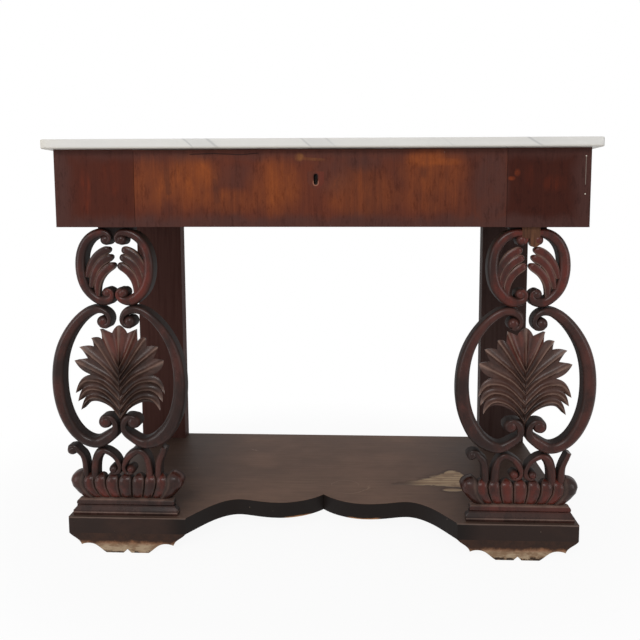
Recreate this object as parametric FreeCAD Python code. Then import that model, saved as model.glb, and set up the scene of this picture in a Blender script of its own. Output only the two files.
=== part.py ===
import FreeCAD, Part
import math
import os

os.makedirs("parts", exist_ok=True)

# Pier table with a marble top, one frieze drawer, two pierced carved front supports and an open back.
# Millimetres. X runs to the right, Y to the back, Z up. The origin is on the floor under the middle.

# Frieze and marble
frieze_width = 1144.0
frieze_depth = 470.0
frieze_height = 167.0
frieze_bottom = 740.0
frieze_end_width = 173.5
marble_thickness = 20.0
marble_overhang = 20.0
marble_corner = 9.0
marble_edge = 3.0
front_board = 22.0
side_board = 22.0
back_board = 20.0
rail_depth = 70.0
rail_thickness = 20.0
runner_width = 56.0
guide_width = 22.0
guide_height = 30.0
stop_width = 28.0
corner_block = 45.0
corner_block_height = 110.0

# Drawer
drawer_seam = 0.8
drawer_top_gap = 1.2
drawer_bottom_gap = 0.6
drawer_stop_length = 28.0
drawer_side_board = 12.0
drawer_side_play = 1.0
drawer_rail_play = 0.5
drawer_head_room = 3.0
drawer_bottom_board = 7.0
drawer_bottom_height = 8.0
drawer_groove = 5.0
drawer_back_drop = 14.0
dovetail_count = 3
dovetail_lap = 14.0
dovetail_neck = 20.0
dovetail_end = 26.0

# Keyhole and lock
key_x = -6.0
key_z = 842.0
key_slot_width = 9.0
key_slot_height = 24.0
shield_width = 36.0
shield_height = 39.0
shield_inlay = 2.0
shield_drop = 3.0
lock_width = 66.0
lock_height = 58.0
lock_plate = 2.5
lock_cap_margin = 6.0
lock_cap_depth = 11.0
lock_cap_wall = 1.5
lock_rail_gap = 3.0
selvage_depth = 14.0
bolt_width = 24.0
bolt_height = 26.0
bolt_thickness = 6.0
bolt_play = 0.4
bolt_travel = 9.0
bolt_mortise_spare = 3.0
key_pin_radius = 1.6
key_pin_height = 9.0
lock_screw_radius = 1.5
lock_screw_head_radius = 3.0
lock_screw_head = 1.2
lock_screw_length = 12.0
lock_screw_inset = 3.6

# Shelf and feet
shelf_thickness = 38.0
foot_height = 45.5
block_width = 266.5
recess_depth = 116.0
foot_depth = 70.0
rear_foot_size = 75.0
foot_notch_width = 18.0
foot_notch_height = 8.5

# Rear pilasters
pilaster_width = 130.0
pilaster_thickness = 35.0
tenon_width = 80.0
tenon_thickness = 8.0
tenon_length = 24.0
tenon_play = 0.2
tenon_inset = 6.0

# Carved front supports: board, heights of the seats between the pieces, and limbs
support_inset = 122.0
base_inset = 127.0
support_setback = 8.0
carving_thickness = 30.0
basket_bottom = 119.0
basket_top = 170.0
basket_horn = 7.0
basket_horn_width = 25.0
oval_bottom = 241.0
oval_top = 567.0
heart_top = 730.0
seat_bite = 1.0
limb_crown = 11.0
boss_dome = 6.0
boss_proud = 1.5
heart_half_width = 91.0
heart_limb = 30.0
heart_eye_radius = 12.5
heart_low_eye_radius = 11.0
leaf_strip = 15.5
leaf_strip_depth = 26.0
leaf_undercut = 12.0
cap_width = 80.0
cap_depth = 22.0
cap_sink = 14.0
oval_half_width = 155.5
oval_limb = 36.0
oval_top_ball_radius = 13.0
oval_bottom_ball_radius = 14.5
gallery_half_width = 126.0
gallery_limb = 25.0
gallery_inner_ball_radius = 11.5
gallery_outer_ball_radius = 13.0
basket_half_width = 128.0
gadroon_depth = 5.0
palmette_half_width = 100.0
palmette_bottom = 295.3
palmette_top = 521.0
ridge_rise_root = 29.0
ridge_rise_tip = 23.0
valley_rise_root = 23.0
valley_rise_notch = 18.0
repair_width = 38.0
repair_height = 43.0
repair_thickness = 13.0
repair_offset = 15.5
repair_strip_width = 16.0
repair_strip_height = 24.0
repair_play = 0.2

# Base moulding under each basket
slab_width = 239.0
slab_depth = 18.0
slab_height = 11.5
slab_chamfer = 6.5
slab_chamfer_run = 7.0
neck_height = 3.5
neck_setback = 4.5
torus_width = 223.0
torus_setback = 1.5
torus_round_share = 0.46
tongue_width = 176.0

# Dowels between the supports and the frame
dowel_radius = 4.0
dowel_length = 28.0
dowel_play = 0.1
dowel_spacing = 60.0

# One allowance by which every cutting shape runs past what it cuts
overrun = 6.0

# Worked out from the sizes above
marble_front = -(frieze_depth + marble_overhang) / 2
front = marble_front + marble_overhang
back = front + frieze_depth
half = frieze_width / 2
support_axis = half - support_inset
base_axis = half - base_inset
frieze_top = frieze_bottom + frieze_height
inner_half = half - side_board
front_inside = front + front_board
back_inside = back - back_board
rail_back = front_inside + rail_depth
rail_top = frieze_bottom + rail_thickness
rail_under = frieze_top - rail_thickness
opening_half = half - frieze_end_width
box_half = opening_half - drawer_side_play - drawer_seam - drawer_groove
guide_inner = box_half + drawer_side_play
drawer_low = rail_top + drawer_rail_play
drawer_high = rail_under - drawer_head_room
drawer_end = back_inside - drawer_stop_length
panel_low = drawer_low + drawer_bottom_height
panel_high = panel_low + drawer_bottom_board
shelf_top = foot_height + shelf_thickness
block_inner = half - block_width
carving_back = front + support_setback + carving_thickness

# Outlines, as shares of the sizes that they follow
# Shelf front from the block to the middle: share of the half recess width, share of the recess depth
serpentine_shares = [(1.00, 0.00), (0.89, 0.37), (0.80, 0.60), (0.68, 0.745), (0.53, 0.70), (0.30, 0.645),
                     (0.14, 0.755), (0.00, 1.00)]
# Foot bottom from the notch outwards: share of the half block, share of the foot's height
foot_rise_shares = [(0.36, 0.00), (0.46, 0.22), (0.56, 0.42), (0.68, 0.48), (0.79, 0.40)]
foot_end_shares = [(0.79, 0.40), (0.845, 0.64), (0.95, 0.86), (1.00, 1.00)]
# Scroll limbs: share of the half width, share of the height, share of the limb's width
heart_shares = [(-0.10, 0.84, 0.28), (-0.09, 0.905, 0.46), (-0.19, 0.948, 0.60), (-0.39, 0.943, 0.72),
                (-0.615, 0.873, 0.84), (-0.768, 0.75, 0.93), (-0.836, 0.59, 1.00), (-0.826, 0.41, 1.00),
                (-0.735, 0.25, 0.96), (-0.56, 0.132, 0.90), (-0.365, 0.07, 0.83), (-0.17, 0.08, 0.72),
                (-0.085, 0.135, 0.45)]
heart_eye_shares = [(-0.19, 0.862), (-0.19, 0.172)]
leaf_strip_shares = [
    [(-0.72, 0.37, 0.50), (-0.655, 0.485, 0.80), (-0.53, 0.605, 0.95), (-0.365, 0.688, 1.00), (-0.20, 0.728, 0.75)],
    [(-0.63, 0.235, 0.50), (-0.58, 0.365, 0.80), (-0.485, 0.487, 0.95), (-0.335, 0.575, 1.00), (-0.155, 0.628, 0.75)],
    [(-0.47, 0.12, 0.50), (-0.475, 0.26, 0.80), (-0.395, 0.375, 0.95), (-0.255, 0.463, 1.00), (-0.10, 0.52, 0.75)]]
oval_shares = [(-0.142, 0.880, 0.24), (-0.122, 0.924, 0.39), (-0.18, 0.962, 0.52), (-0.305, 0.969, 0.60),
               (-0.48, 0.928, 0.68), (-0.663, 0.834, 0.77), (-0.812, 0.70, 0.87), (-0.889, 0.51, 0.95),
               (-0.858, 0.32, 0.97), (-0.737, 0.168, 0.97), (-0.545, 0.070, 0.94), (-0.34, 0.044, 0.88),
               (-0.175, 0.084, 0.77), (-0.066, 0.137, 0.61), (-0.083, 0.187, 0.42), (-0.145, 0.215, 0.27)]
oval_ball_shares = [(-0.195, 0.888), (-0.208, 0.194)]
gallery_inner_shares = [(-0.50, -0.08, 1.00), (-0.50, 0.26, 0.98), (-0.485, 0.51, 0.93), (-0.435, 0.745, 0.84),
                        (-0.34, 0.885, 0.78), (-0.22, 0.83, 0.68), (-0.105, 0.66, 0.62), (-0.05, 0.47, 0.60),
                        (-0.06, 0.30, 0.40), (-0.11, 0.20, 0.28)]
gallery_inner_ball_share = (-0.16, 0.29)
gallery_ball_limb_shares = [(-0.665, -0.08, 0.90), (-0.665, 0.26, 0.86), (-0.675, 0.52, 0.78),
                            (-0.725, 0.77, 0.70), (-0.81, 0.93, 0.62), (-0.89, 0.975, 0.44)]
gallery_outer_ball_share = (-0.905, 0.90)
gallery_broken_limb_shares = [(0.665, -0.08, 0.90), (0.665, 0.30, 0.86), (0.685, 0.58, 0.80), (0.745, 0.84, 0.72),
                              (0.79, 1.06, 0.66)]
# Basket levels: share of the height, of the half width, and of the carving's thickness at the front
basket_level_shares = [(0.00, 0.80, 0.70), (0.25, 0.89, 0.86), (0.55, 0.975, 0.98), (0.80, 1.00, 1.00),
                       (1.00, 0.985, 0.92), (1.16, 0.96, 0.80)]
gadroon_edge_shares = [-0.745, -0.54, -0.34, -0.125, 0.125, 0.34, 0.54, 0.745]
basket_end_width_share = 0.93
basket_end_front_share = 0.55
# Palmette ribs and the valleys under them, from the middle leaf down: height of the root, then a place
# half-way and the end, as shares of the half width and of the palmette's height
palmette_ridge_shares = [(0.63, (0.00, 0.80), (0.00, 1.00)), (0.60, (0.17, 0.80), (0.385, 0.966)),
                         (0.535, (0.28, 0.735), (0.59, 0.877)), (0.46, (0.40, 0.685), (0.88, 0.789)),
                         (0.385, (0.47, 0.61), (1.00, 0.65)), (0.305, (0.57, 0.505), (1.05, 0.32)),
                         (0.215, (0.53, 0.385), (0.98, 0.24)), (0.115, (0.48, 0.285), (0.91, 0.16))]
palmette_valley_shares = [(0.62, (0.07, 0.79), (0.13, 0.944)), (0.57, (0.19, 0.73), (0.35, 0.865)),
                          (0.50, (0.28, 0.67), (0.52, 0.80)), (0.425, (0.36, 0.60), (0.67, 0.695)),
                          (0.345, (0.38, 0.515), (0.66, 0.54)), (0.26, (0.46, 0.42), (0.82, 0.36)),
                          (0.165, (0.44, 0.315), (0.78, 0.265)), (0.00, (0.41, 0.23), (0.86, 0.14))]
# Shield inlay: half width and height shares from the top corner down to the point
shield_shares = [(1.00, 1.00), (1.00, 0.45), (0.55, 0.17), (0.00, 0.00)]
dovetail_place_shares = [0.20, 0.50, 0.80]
gadroon_valley_share = 0.5
crown_share = 0.5
back_share = 0.5
sink_share = 0.35
full_width_share = 0.62


def vec(x, y, z):
    return FreeCAD.Vector(x, y, z)


def box(x0, x1, y0, y1, z0, z1):
    """A block between two corners."""
    return Part.makeBox(x1 - x0, y1 - y0, z1 - z0, vec(x0, y0, z0))


def polygon(points):
    """A flat face with straight edges."""
    return Part.Face(Part.makePolygon(points + points[:1]))


def curve(points):
    """One smooth edge through a few points."""
    spline = Part.BSplineCurve()
    spline.interpolate(points)
    return spline.toShape()


def mirrored(shape):
    """The same piece on the other side of the middle plane."""
    return shape.mirror(vec(0, 0, 0), vec(1, 0, 0))


def cylinder(radius, length, start, axis):
    return Part.makeCylinder(radius, length, start, axis)


# Marble and frieze


def marble_top():
    """Slab with rounded corners and eased edges."""
    slab = box(-half - marble_overhang, half + marble_overhang, marble_front, back,
               frieze_top, frieze_top + marble_thickness)
    upright = [e for e in slab.Edges if abs(e.BoundBox.ZLength - marble_thickness) < marble_edge
               and e.CenterOfMass.y < 0]
    slab = slab.makeFillet(marble_corner, upright)
    level = [e for e in slab.Edges if e.BoundBox.ZLength < marble_edge and e.CenterOfMass.y < back - marble_edge]
    return slab.makeFillet(marble_edge, level)


def frieze_end():
    """Front board on the right of the drawer."""
    return box(opening_half, half, front, front_inside, frieze_bottom, frieze_top)


def frieze_side():
    return box(inner_half, half, front_inside, back, frieze_bottom, frieze_top)


def tenon(x_middle, z_low, length, play):
    """Tongue of a pilaster, or with play the mortise for it."""
    return box(x_middle - tenon_width / 2 - play, x_middle + tenon_width / 2 + play,
               back - tenon_inset - tenon_thickness - play, back - tenon_inset + play,
               z_low - play, z_low + length + play)


def pilaster_middle():
    return half - pilaster_width / 2


def frieze_back():
    """Back board with a mortise in its lower edge over each pilaster."""
    board = box(-inner_half, inner_half, back_inside, back, frieze_bottom, frieze_top)
    for side in (-1, 1):
        board = board.cut(tenon(side * pilaster_middle() - side * side_board, frieze_bottom, tenon_length, tenon_play))
    return board


def dowel_places():
    """Middle of each dowel as x and y: two for each support."""
    y = carving_back - dowel_play - dowel_radius - neck_setback / 2
    return [(side * support_axis + step * dowel_spacing / 2, y) for side in (-1, 1) for step in (-1, 1)]


def dowel_holes(z_middle):
    """Bores for one row of dowels, a little wider and longer than the dowels."""
    radius = dowel_radius + dowel_play
    length = dowel_length + 2 * dowel_play
    return [cylinder(radius, length, vec(x, y, z_middle - length / 2), vec(0, 0, 1)) for x, y in dowel_places()]


def bottom_rail():
    """Rail behind the lower edge of the drawer front; the supports are doweled into it."""
    rail = box(-inner_half, inner_half, front_inside, rail_back, frieze_bottom, rail_top)
    return rail.cut(Part.makeCompound(dowel_holes(frieze_bottom)))


def top_rail():
    """Rail under the marble with the mortise that takes the lock's bolt."""
    rail = box(-inner_half, inner_half, front_inside, rail_back, rail_under, frieze_top)
    x_half = bolt_width / 2 + bolt_play
    y = front_inside + lock_plate
    return rail.cut(box(key_x - x_half, key_x + x_half, y, y + bolt_thickness + 2 * bolt_play,
                        rail_under - overrun, rail_under + bolt_travel - lock_rail_gap + bolt_mortise_spare))


def drawer_runner():
    outer = guide_inner + guide_width
    return box(outer - runner_width, outer, rail_back, back_inside, frieze_bottom, rail_top)


def drawer_guide():
    return box(guide_inner, guide_inner + guide_width, front_inside, back_inside, rail_top, rail_top + guide_height)


def drawer_kicker():
    outer = guide_inner + guide_width
    return box(outer - runner_width, outer, rail_back, back_inside, rail_under, frieze_top)


def drawer_stop():
    return box(guide_inner - stop_width, guide_inner, drawer_end + drawer_rail_play, back_inside,
               rail_top, rail_top + guide_height)


def corner_block_piece(y, turn):
    """Three-cornered block glued into an inner corner of the frieze."""
    low = (frieze_bottom + frieze_top - corner_block_height) / 2
    points = [vec(inner_half, y, low), vec(inner_half - corner_block, y, low),
              vec(inner_half, y + turn * corner_block, low)]
    return polygon(points).extrude(vec(0, 0, corner_block_height))


# Drawer


def dovetails(z_low, z_high, x0, x1):
    """Tails that run from a drawer side into the back of the drawer front."""
    tails = []
    for share in dovetail_place_shares[:dovetail_count]:
        z = z_low + share * (z_high - z_low)
        points = [vec(x0, front_inside, z - dovetail_neck / 2), vec(x0, front_inside, z + dovetail_neck / 2),
                  vec(x0, front_inside - dovetail_lap, z + dovetail_end / 2),
                  vec(x0, front_inside - dovetail_lap, z - dovetail_end / 2)]
        tails.append(polygon(points).extrude(vec(x1 - x0, 0, 0)))
    return tails


def side_tails():
    return dovetails(drawer_low, drawer_high, box_half - drawer_side_board, box_half)


def panel():
    """Bottom panel, held in grooves of the front and sides."""
    x = box_half - drawer_side_board + drawer_groove
    return box(-x, x, front_inside - drawer_groove, drawer_end, panel_low, panel_high)


def key_slot(y0, y1):
    """Upright slot with round ends, for the key."""
    radius = key_slot_width / 2
    reach = key_slot_height / 2 - radius
    slot = box(key_x - radius, key_x + radius, y0, y1, key_z - reach, key_z + reach)
    ends = [cylinder(radius, y1 - y0, vec(key_x, y0, key_z + step * reach), vec(0, 1, 0)) for step in (-1, 1)]
    return slot.multiFuse(ends).removeSplitter()


def shield():
    """Shield-shaped inlay round the keyhole: flat top, straight shoulders, rounded sides, a point below."""
    low = key_z - shield_height / 2 - shield_drop
    place = [(key_x + u * shield_width / 2, low + v * shield_height) for u, v in shield_shares]
    right = [vec(x, front, z) for x, z in place]
    left = [vec(2 * key_x - x, front, z) for x, z in place]
    edges = [Part.makeLine(left[0], right[0]), Part.makeLine(right[0], right[1]),
             Part.Arc(right[1], right[2], right[3]).toShape(), Part.Arc(left[3], left[2], left[1]).toShape(),
             Part.makeLine(left[1], left[0])]
    return Part.Face(Part.Wire(edges)).extrude(vec(0, shield_inlay, 0))


def drawer_front():
    """Full-height front with sockets for the tails, a groove, the keyhole and the seat of the inlay."""
    board = box(-opening_half + drawer_seam, opening_half - drawer_seam, front, front_inside,
                frieze_bottom + drawer_bottom_gap, frieze_top - drawer_top_gap)
    tails = side_tails()
    cuts = tails + [mirrored(t) for t in tails]
    cuts += [panel(), shield(), key_slot(front - overrun, front_inside + overrun)]
    return board.cut(Part.makeCompound(cuts))


def keyhole_shield():
    return shield().cut(key_slot(front - overrun, front_inside + overrun))


def drawer_side():
    board = box(box_half - drawer_side_board, box_half, front_inside, drawer_end, drawer_low, drawer_high)
    return board.multiFuse(side_tails()).removeSplitter().cut(panel())


def drawer_back():
    x = box_half - drawer_side_board
    return box(-x, x, drawer_end - drawer_side_board, drawer_end, panel_high, drawer_high - drawer_back_drop)


# Lock


def lock_low():
    return rail_under - lock_rail_gap - lock_height


def bolt_box(play):
    """The bolt at rest, or with play the way that it slides in."""
    high = rail_under - lock_rail_gap
    y = front_inside + lock_plate + bolt_play
    return box(key_x - bolt_width / 2 - play, key_x + bolt_width / 2 + play, y - play, y + bolt_thickness + play,
               high - bolt_height - play, high)


def lock_screw_places():
    x = lock_width / 2 - lock_screw_inset
    z_middle = lock_low() + lock_height / 2
    z = lock_height / 2 - lock_screw_inset - lock_plate
    return [(key_x + i * x, z_middle + j * z) for i in (-1, 1) for j in (-1, 1)]


def screw_bore(radius, x, z, y0, y1):
    return cylinder(radius, y1 - y0, vec(x, y0, z), vec(0, 1, 0))


def lock_plate_piece():
    """Plate on the drawer front with a selvage on top that the bolt passes through."""
    low = lock_low()
    high = low + lock_height
    y = front_inside + lock_plate
    plate = box(key_x - lock_width / 2, key_x + lock_width / 2, front_inside, y, low, high)
    selvage = box(key_x - lock_width / 2, key_x + lock_width / 2, y, y + selvage_depth, high - lock_plate, high)
    cuts = [bolt_box(bolt_play), key_slot(front_inside - overrun, y + overrun)]
    cuts += [screw_bore(lock_screw_radius + dowel_play, x, z, front_inside - overrun, y + overrun)
             for x, z in lock_screw_places()]
    return plate.fuse(selvage).removeSplitter().cut(Part.makeCompound(cuts))


def lock_cap():
    """Shallow cover over the works, open towards the plate and at the top for the bolt."""
    low = lock_low() + lock_cap_margin
    high = lock_low() + lock_height - lock_plate
    y = front_inside + lock_plate
    x_half = lock_width / 2 - 2 * lock_cap_margin
    shell = box(key_x - x_half, key_x + x_half, y, y + lock_cap_depth, low, high)
    inside = box(key_x - x_half + lock_cap_wall, key_x + x_half - lock_cap_wall, y - overrun,
                 y + lock_cap_depth - lock_cap_wall, low + lock_cap_wall, high + overrun)
    return shell.cut(inside)


def lock_bolt():
    """Flat bolt with a talon notch in its lower edge for the key."""
    bolt = bolt_box(0)
    low = rail_under - lock_rail_gap - bolt_height
    notch = box(key_x - key_slot_width / 2, key_x + key_slot_width / 2, front_inside, front_inside + selvage_depth,
                low - overrun, low + key_slot_width / 2)
    return bolt.cut(notch)


def key_pin():
    """Pin that the hollow key turns on; it stands on the cap behind the keyhole."""
    start = front_inside + lock_plate + lock_cap_depth - lock_cap_wall
    return cylinder(key_pin_radius, key_pin_height, vec(key_x, start - key_pin_height, key_z), vec(0, 1, 0))


def lock_screws():
    """Four screws through the plate into the drawer front."""
    screws = []
    y = front_inside + lock_plate
    for x, z in lock_screw_places():
        shank = screw_bore(lock_screw_radius, x, z, y - lock_screw_length, y)
        head = screw_bore(lock_screw_head_radius, x, z, y, y + lock_screw_head)
        screws.append(shank.fuse(head).removeSplitter())
    return Part.makeCompound(screws)


def screw_pilot_holes():
    y = front_inside + lock_plate
    return [screw_bore(lock_screw_radius + dowel_play, x, z, y - lock_screw_length - dowel_play, y + overrun)
            for x, z in lock_screw_places()]


# Shelf, feet and pilasters


def shelf():
    """Shelf with two blocks that reach forward and a serpentine edge with a cusp between them."""
    place = [(u * block_inner, front + v * recess_depth) for u, v in serpentine_shares]
    right = curve([vec(x, y, foot_height) for x, y in place])
    left = curve([vec(-x, y, foot_height) for x, y in place])
    corners = [vec(block_inner, front, foot_height), vec(half, front, foot_height), vec(half, back, foot_height),
               vec(-half, back, foot_height), vec(-half, front, foot_height), vec(-block_inner, front, foot_height)]
    edges = [right, left] + [Part.makeLine(a, b) for a, b in zip(corners, corners[1:])]
    board = Part.Face(Part.Wire(Part.__sortEdges__(edges))).extrude(vec(0, 0, shelf_thickness))
    cuts = dowel_holes(shelf_top)
    for side in (-1, 1):
        cuts.append(tenon(side * pilaster_middle(), shelf_top - tenon_length, tenon_length, tenon_play))
    return board.cut(Part.makeCompound(cuts))


def front_foot():
    """Bracket foot under the right block: centre pads with a notch, then an arch and a drop point each way."""
    middle = half - block_width / 2
    reach = block_width / 2

    def outline(shares, step):
        return [vec(middle + step * u * reach, front, v * foot_height) for u, v in shares]

    edges = []
    for step in (-1, 1):
        rise = outline(foot_rise_shares, step)
        end = outline(foot_end_shares, step)
        pad = vec(middle + step * foot_notch_width / 2, front, 0)
        edges += [Part.makeLine(vec(middle, front, foot_notch_height), pad), Part.makeLine(pad, rise[0]),
                  curve(rise), curve(end)]
    edges.append(Part.makeLine(vec(middle - reach, front, foot_height), vec(middle + reach, front, foot_height)))
    return Part.Face(Part.Wire(Part.__sortEdges__(edges))).extrude(vec(0, foot_depth, 0))


def rear_foot():
    return box(half - rear_foot_size, half, back - rear_foot_size, back, 0, foot_height)


def rear_pilaster():
    """Flat board with a tongue at each end."""
    board = box(half - pilaster_width, half, back - pilaster_thickness, back, shelf_top, frieze_bottom)
    low = tenon(pilaster_middle(), shelf_top - tenon_length, tenon_length, 0)
    high = tenon(pilaster_middle() - side_board, frieze_bottom, tenon_length, 0)
    return board.multiFuse([low, high]).removeSplitter()


# Carved supports, drawn about their own axis: the flat back is at zero and the front is towards minus Y


def scaled(shares, half_width, low, height, limb):
    """Places, widths and depth shares of a limb; its thin ends sink below the balls."""
    return [(u * half_width, low + v * height, w * limb, min(1, sink_share + (1 - sink_share) * w / full_width_share))
            for u, v, w in shares]


def limb_slice(x, z, across, width, depth):
    """One slice of a limb: narrow flat back, sloping sides, round front."""
    crown = min(limb_crown, width * crown_share)
    dx = across.x * width / 2
    dz = across.z * width / 2
    back_left = vec(x - dx * back_share, overrun, z - dz * back_share)
    back_right = vec(x + dx * back_share, overrun, z + dz * back_share)
    front_left = vec(x - dx, crown - depth, z - dz)
    front_right = vec(x + dx, crown - depth, z + dz)
    edges = [Part.makeLine(back_right, back_left), Part.makeLine(back_left, front_left),
             Part.Arc(front_left, vec(x, -depth, z), front_right).toShape(), Part.makeLine(front_right, back_right)]
    return Part.Wire(edges)


def limb(stations, depth):
    """Scroll limb that tapers along a smooth path through its stations."""
    path = Part.BSplineCurve()
    path.interpolate([vec(x, 0, z) for x, z, width, share in stations])
    slices = []
    for x, z, width, share in stations:
        along = path.tangent(path.parameter(vec(x, 0, z)))[0]
        across = vec(along.z, 0, -along.x)
        slices.append(limb_slice(x, z, across, width, share * depth))
    return Part.makeLoft(slices, True, False)


def ball(x, z, radius):
    """Round boss with a domed front at the eye of a scroll, a little prouder than the limbs."""
    depth = carving_thickness + boss_proud
    shoulder = boss_dome - depth
    sphere = (radius ** 2 + boss_dome ** 2) / (2 * boss_dome)
    bend = math.asin(radius / sphere) / 2
    edges = [Part.makeLine(vec(0, overrun, 0), vec(-radius, overrun, 0)),
             Part.makeLine(vec(-radius, overrun, 0), vec(-radius, shoulder, 0)),
             Part.Arc(vec(-radius, shoulder, 0), vec(-sphere * math.sin(bend), sphere - depth - sphere * math.cos(bend), 0),
                      vec(0, -depth, 0)).toShape(),
             Part.makeLine(vec(0, -depth, 0), vec(0, overrun, 0))]
    boss = Part.Face(Part.Wire(edges)).revolve(vec(0, 0, 0), vec(0, 1, 0), 360)
    boss.translate(vec(x, 0, z))
    return boss


def trimmed(shape, reach, low, high):
    """Cuts a half carving flat at its back, at the middle plane and at its two seats."""
    return shape.common(box(-reach, 0, -carving_thickness - overrun, 0, low, high))


def both_halves(shape):
    return shape.fuse(mirrored(shape)).removeSplitter()


def leaf(stations):
    """Leaf strip with its back cut away, so that it shows only a thin edge."""
    return limb(stations, leaf_strip_depth).common(box(-heart_half_width, 0, -carving_thickness, -leaf_undercut,
                                                       oval_top, frieze_bottom))


def upper_scroll():
    """Heart-shaped pair of scrolls with three leaf strips on each side and a flat cap."""
    low = oval_top - seat_bite
    height = heart_top - low
    pieces = [limb(scaled(heart_shares, heart_half_width, low, height, heart_limb), carving_thickness)]
    for (u, v), radius in zip(heart_eye_shares, (heart_eye_radius, heart_low_eye_radius)):
        pieces.append(ball(u * heart_half_width, low + v * height, radius))
    for shares in leaf_strip_shares:
        pieces.append(leaf(scaled(shares, heart_half_width, low, height, leaf_strip)))
    half_scroll = pieces[0].multiFuse(pieces[1:])
    half_scroll = trimmed(half_scroll, heart_half_width + overrun, oval_top, frieze_bottom)
    cap = box(-cap_width / 2, cap_width / 2, -cap_depth, 0, heart_top - cap_sink, frieze_bottom)
    return both_halves(half_scroll).fuse(cap).removeSplitter()


def oval_scroll():
    """Pair of large C-scrolls that meet below and curl in at the top."""
    low = oval_bottom - seat_bite
    height = oval_top + seat_bite - low
    pieces = [limb(scaled(oval_shares, oval_half_width, low, height, oval_limb), carving_thickness)]
    for (u, v), radius in zip(oval_ball_shares, (oval_top_ball_radius, oval_bottom_ball_radius)):
        pieces.append(ball(u * oval_half_width, low + v * height, radius))
    half_scroll = pieces[0].multiFuse(pieces[1:])
    return both_halves(trimmed(half_scroll, oval_half_width + overrun, oval_bottom, oval_top))


def scroll_gallery():
    """Four small scrolls on the basket; the outer right one has lost its ball."""
    height = oval_bottom + seat_bite - basket_top
    reach = gallery_half_width + overrun

    def place(share):
        return share[0] * gallery_half_width, basket_top + share[1] * height

    def member(shares):
        return limb(scaled(shares, gallery_half_width, basket_top, height, gallery_limb), carving_thickness)

    inner = member(gallery_inner_shares).fuse(
        ball(*place(gallery_inner_ball_share), gallery_inner_ball_radius))
    inner = both_halves(trimmed(inner, reach, basket_top, oval_bottom))
    outer = member(gallery_ball_limb_shares).fuse(
        ball(*place(gallery_outer_ball_share), gallery_outer_ball_radius))
    outer = trimmed(outer, reach, basket_top, oval_bottom + gallery_outer_ball_radius)
    broken = mirrored(trimmed(mirrored(member(gallery_broken_limb_shares)), reach, basket_top, oval_bottom))
    return inner.multiFuse([outer, broken]).removeSplitter()


def basket_slice(level):
    """One level of the basket: a row of gadroon arcs in front of a straight back."""
    v, width_share, front_share = level
    z = basket_bottom + v * (basket_top - basket_bottom)
    width = width_share * basket_half_width
    crest = front_share * carving_thickness
    valley = crest - gadroon_depth
    corners = [vec(-width * basket_end_width_share, 0, z)]
    corners += [vec(u * width, -valley, z) for u in gadroon_edge_shares]
    corners += [vec(width * basket_end_width_share, 0, z)]
    edges = []
    for a, b in zip(corners, corners[1:]):
        top = vec((a.x + b.x) / 2, -crest, z)
        if a is corners[0]:
            top = vec(-width, -crest * basket_end_front_share, z)
        if b is corners[-1]:
            top = vec(width, -crest * basket_end_front_share, z)
        edges.append(Part.Arc(a, top, b).toShape())
    edges.append(Part.makeLine(corners[-1], corners[0]))
    return Part.Wire(edges)


def basket_outline():
    """Seen from the front: flat where the gallery stands, with a rounded horn over each end lobe."""
    high = basket_top + basket_horn
    outer = basket_half_width + overrun
    seat = basket_half_width - basket_horn_width
    edges = []
    for side in (-1, 1):
        crest = vec(side * (basket_half_width - basket_horn_width / 2), 0, high)
        end = vec(side * outer, 0, basket_top)
        inner = vec(side * seat, 0, basket_top)
        edges += [Part.Arc(inner, crest, end).toShape(), Part.makeLine(end, vec(side * outer, 0, basket_bottom))]
    edges.append(Part.makeLine(vec(-seat, 0, basket_top), vec(seat, 0, basket_top)))
    edges.append(Part.makeLine(vec(-outer, 0, basket_bottom), vec(outer, 0, basket_bottom)))
    outline = Part.Face(Part.Wire(Part.__sortEdges__(edges)))
    return outline.extrude(vec(0, -carving_thickness - overrun, 0))


def gadroon_basket():
    """Swelling basket with a row of gadroons, and a tongue that goes down behind the base moulding."""
    bowl = Part.makeLoft([basket_slice(level) for level in basket_level_shares], True, False)
    bowl = bowl.common(basket_outline())
    tongue = box(-tongue_width / 2, tongue_width / 2, slab_depth - carving_thickness, 0, shelf_top, basket_bottom)
    return bowl.fuse(tongue).removeSplitter()


def base_moulding():
    """Slab with a chamfer, a neck and a half-round bead."""
    back_y = slab_depth - carving_thickness
    low = shelf_top
    slab = box(-slab_width / 2, slab_width / 2, -carving_thickness, back_y, low, low + slab_height)
    low += slab_height

    def ring(setback, inset, z):
        x = slab_width / 2 - inset
        y = setback - carving_thickness
        points = [vec(-x, y, z), vec(x, y, z), vec(x, back_y, z), vec(-x, back_y, z)]
        return Part.makePolygon(points + points[:1])

    chamfer = Part.makeLoft([ring(0, 0, low), ring(neck_setback, slab_chamfer_run, low + slab_chamfer)], True, True)
    low += slab_chamfer
    neck_x = slab_width / 2 - slab_chamfer_run
    neck = box(-neck_x, neck_x, neck_setback - carving_thickness, back_y, low, low + neck_height)
    low += neck_height
    torus = box(-torus_width / 2, torus_width / 2, torus_setback - carving_thickness, back_y, low, basket_bottom)
    rounded = [e for e in torus.Edges if e.BoundBox.ZLength < overrun and e.CenterOfMass.y < back_y - seat_bite]
    torus = torus.makeFillet((basket_bottom - low) * torus_round_share, rounded)
    return slab.multiFuse([chamfer, neck, torus]).removeSplitter()


def palmette_line(row, root_rise, end_rise):
    """A rib or valley as the three poles of a curve that starts on the middle plane and passes half-way."""
    height = palmette_top - palmette_bottom
    root, bend, end = row
    start = vec(0, -root_rise, palmette_bottom + root * height)
    stop = vec(-end[0] * palmette_half_width, -end_rise, palmette_bottom + end[1] * height)
    way = vec(-bend[0] * palmette_half_width, -(root_rise + end_rise) / 2, palmette_bottom + bend[1] * height)
    return [start, way * 2 - (start + stop) / 2, stop]


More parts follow.
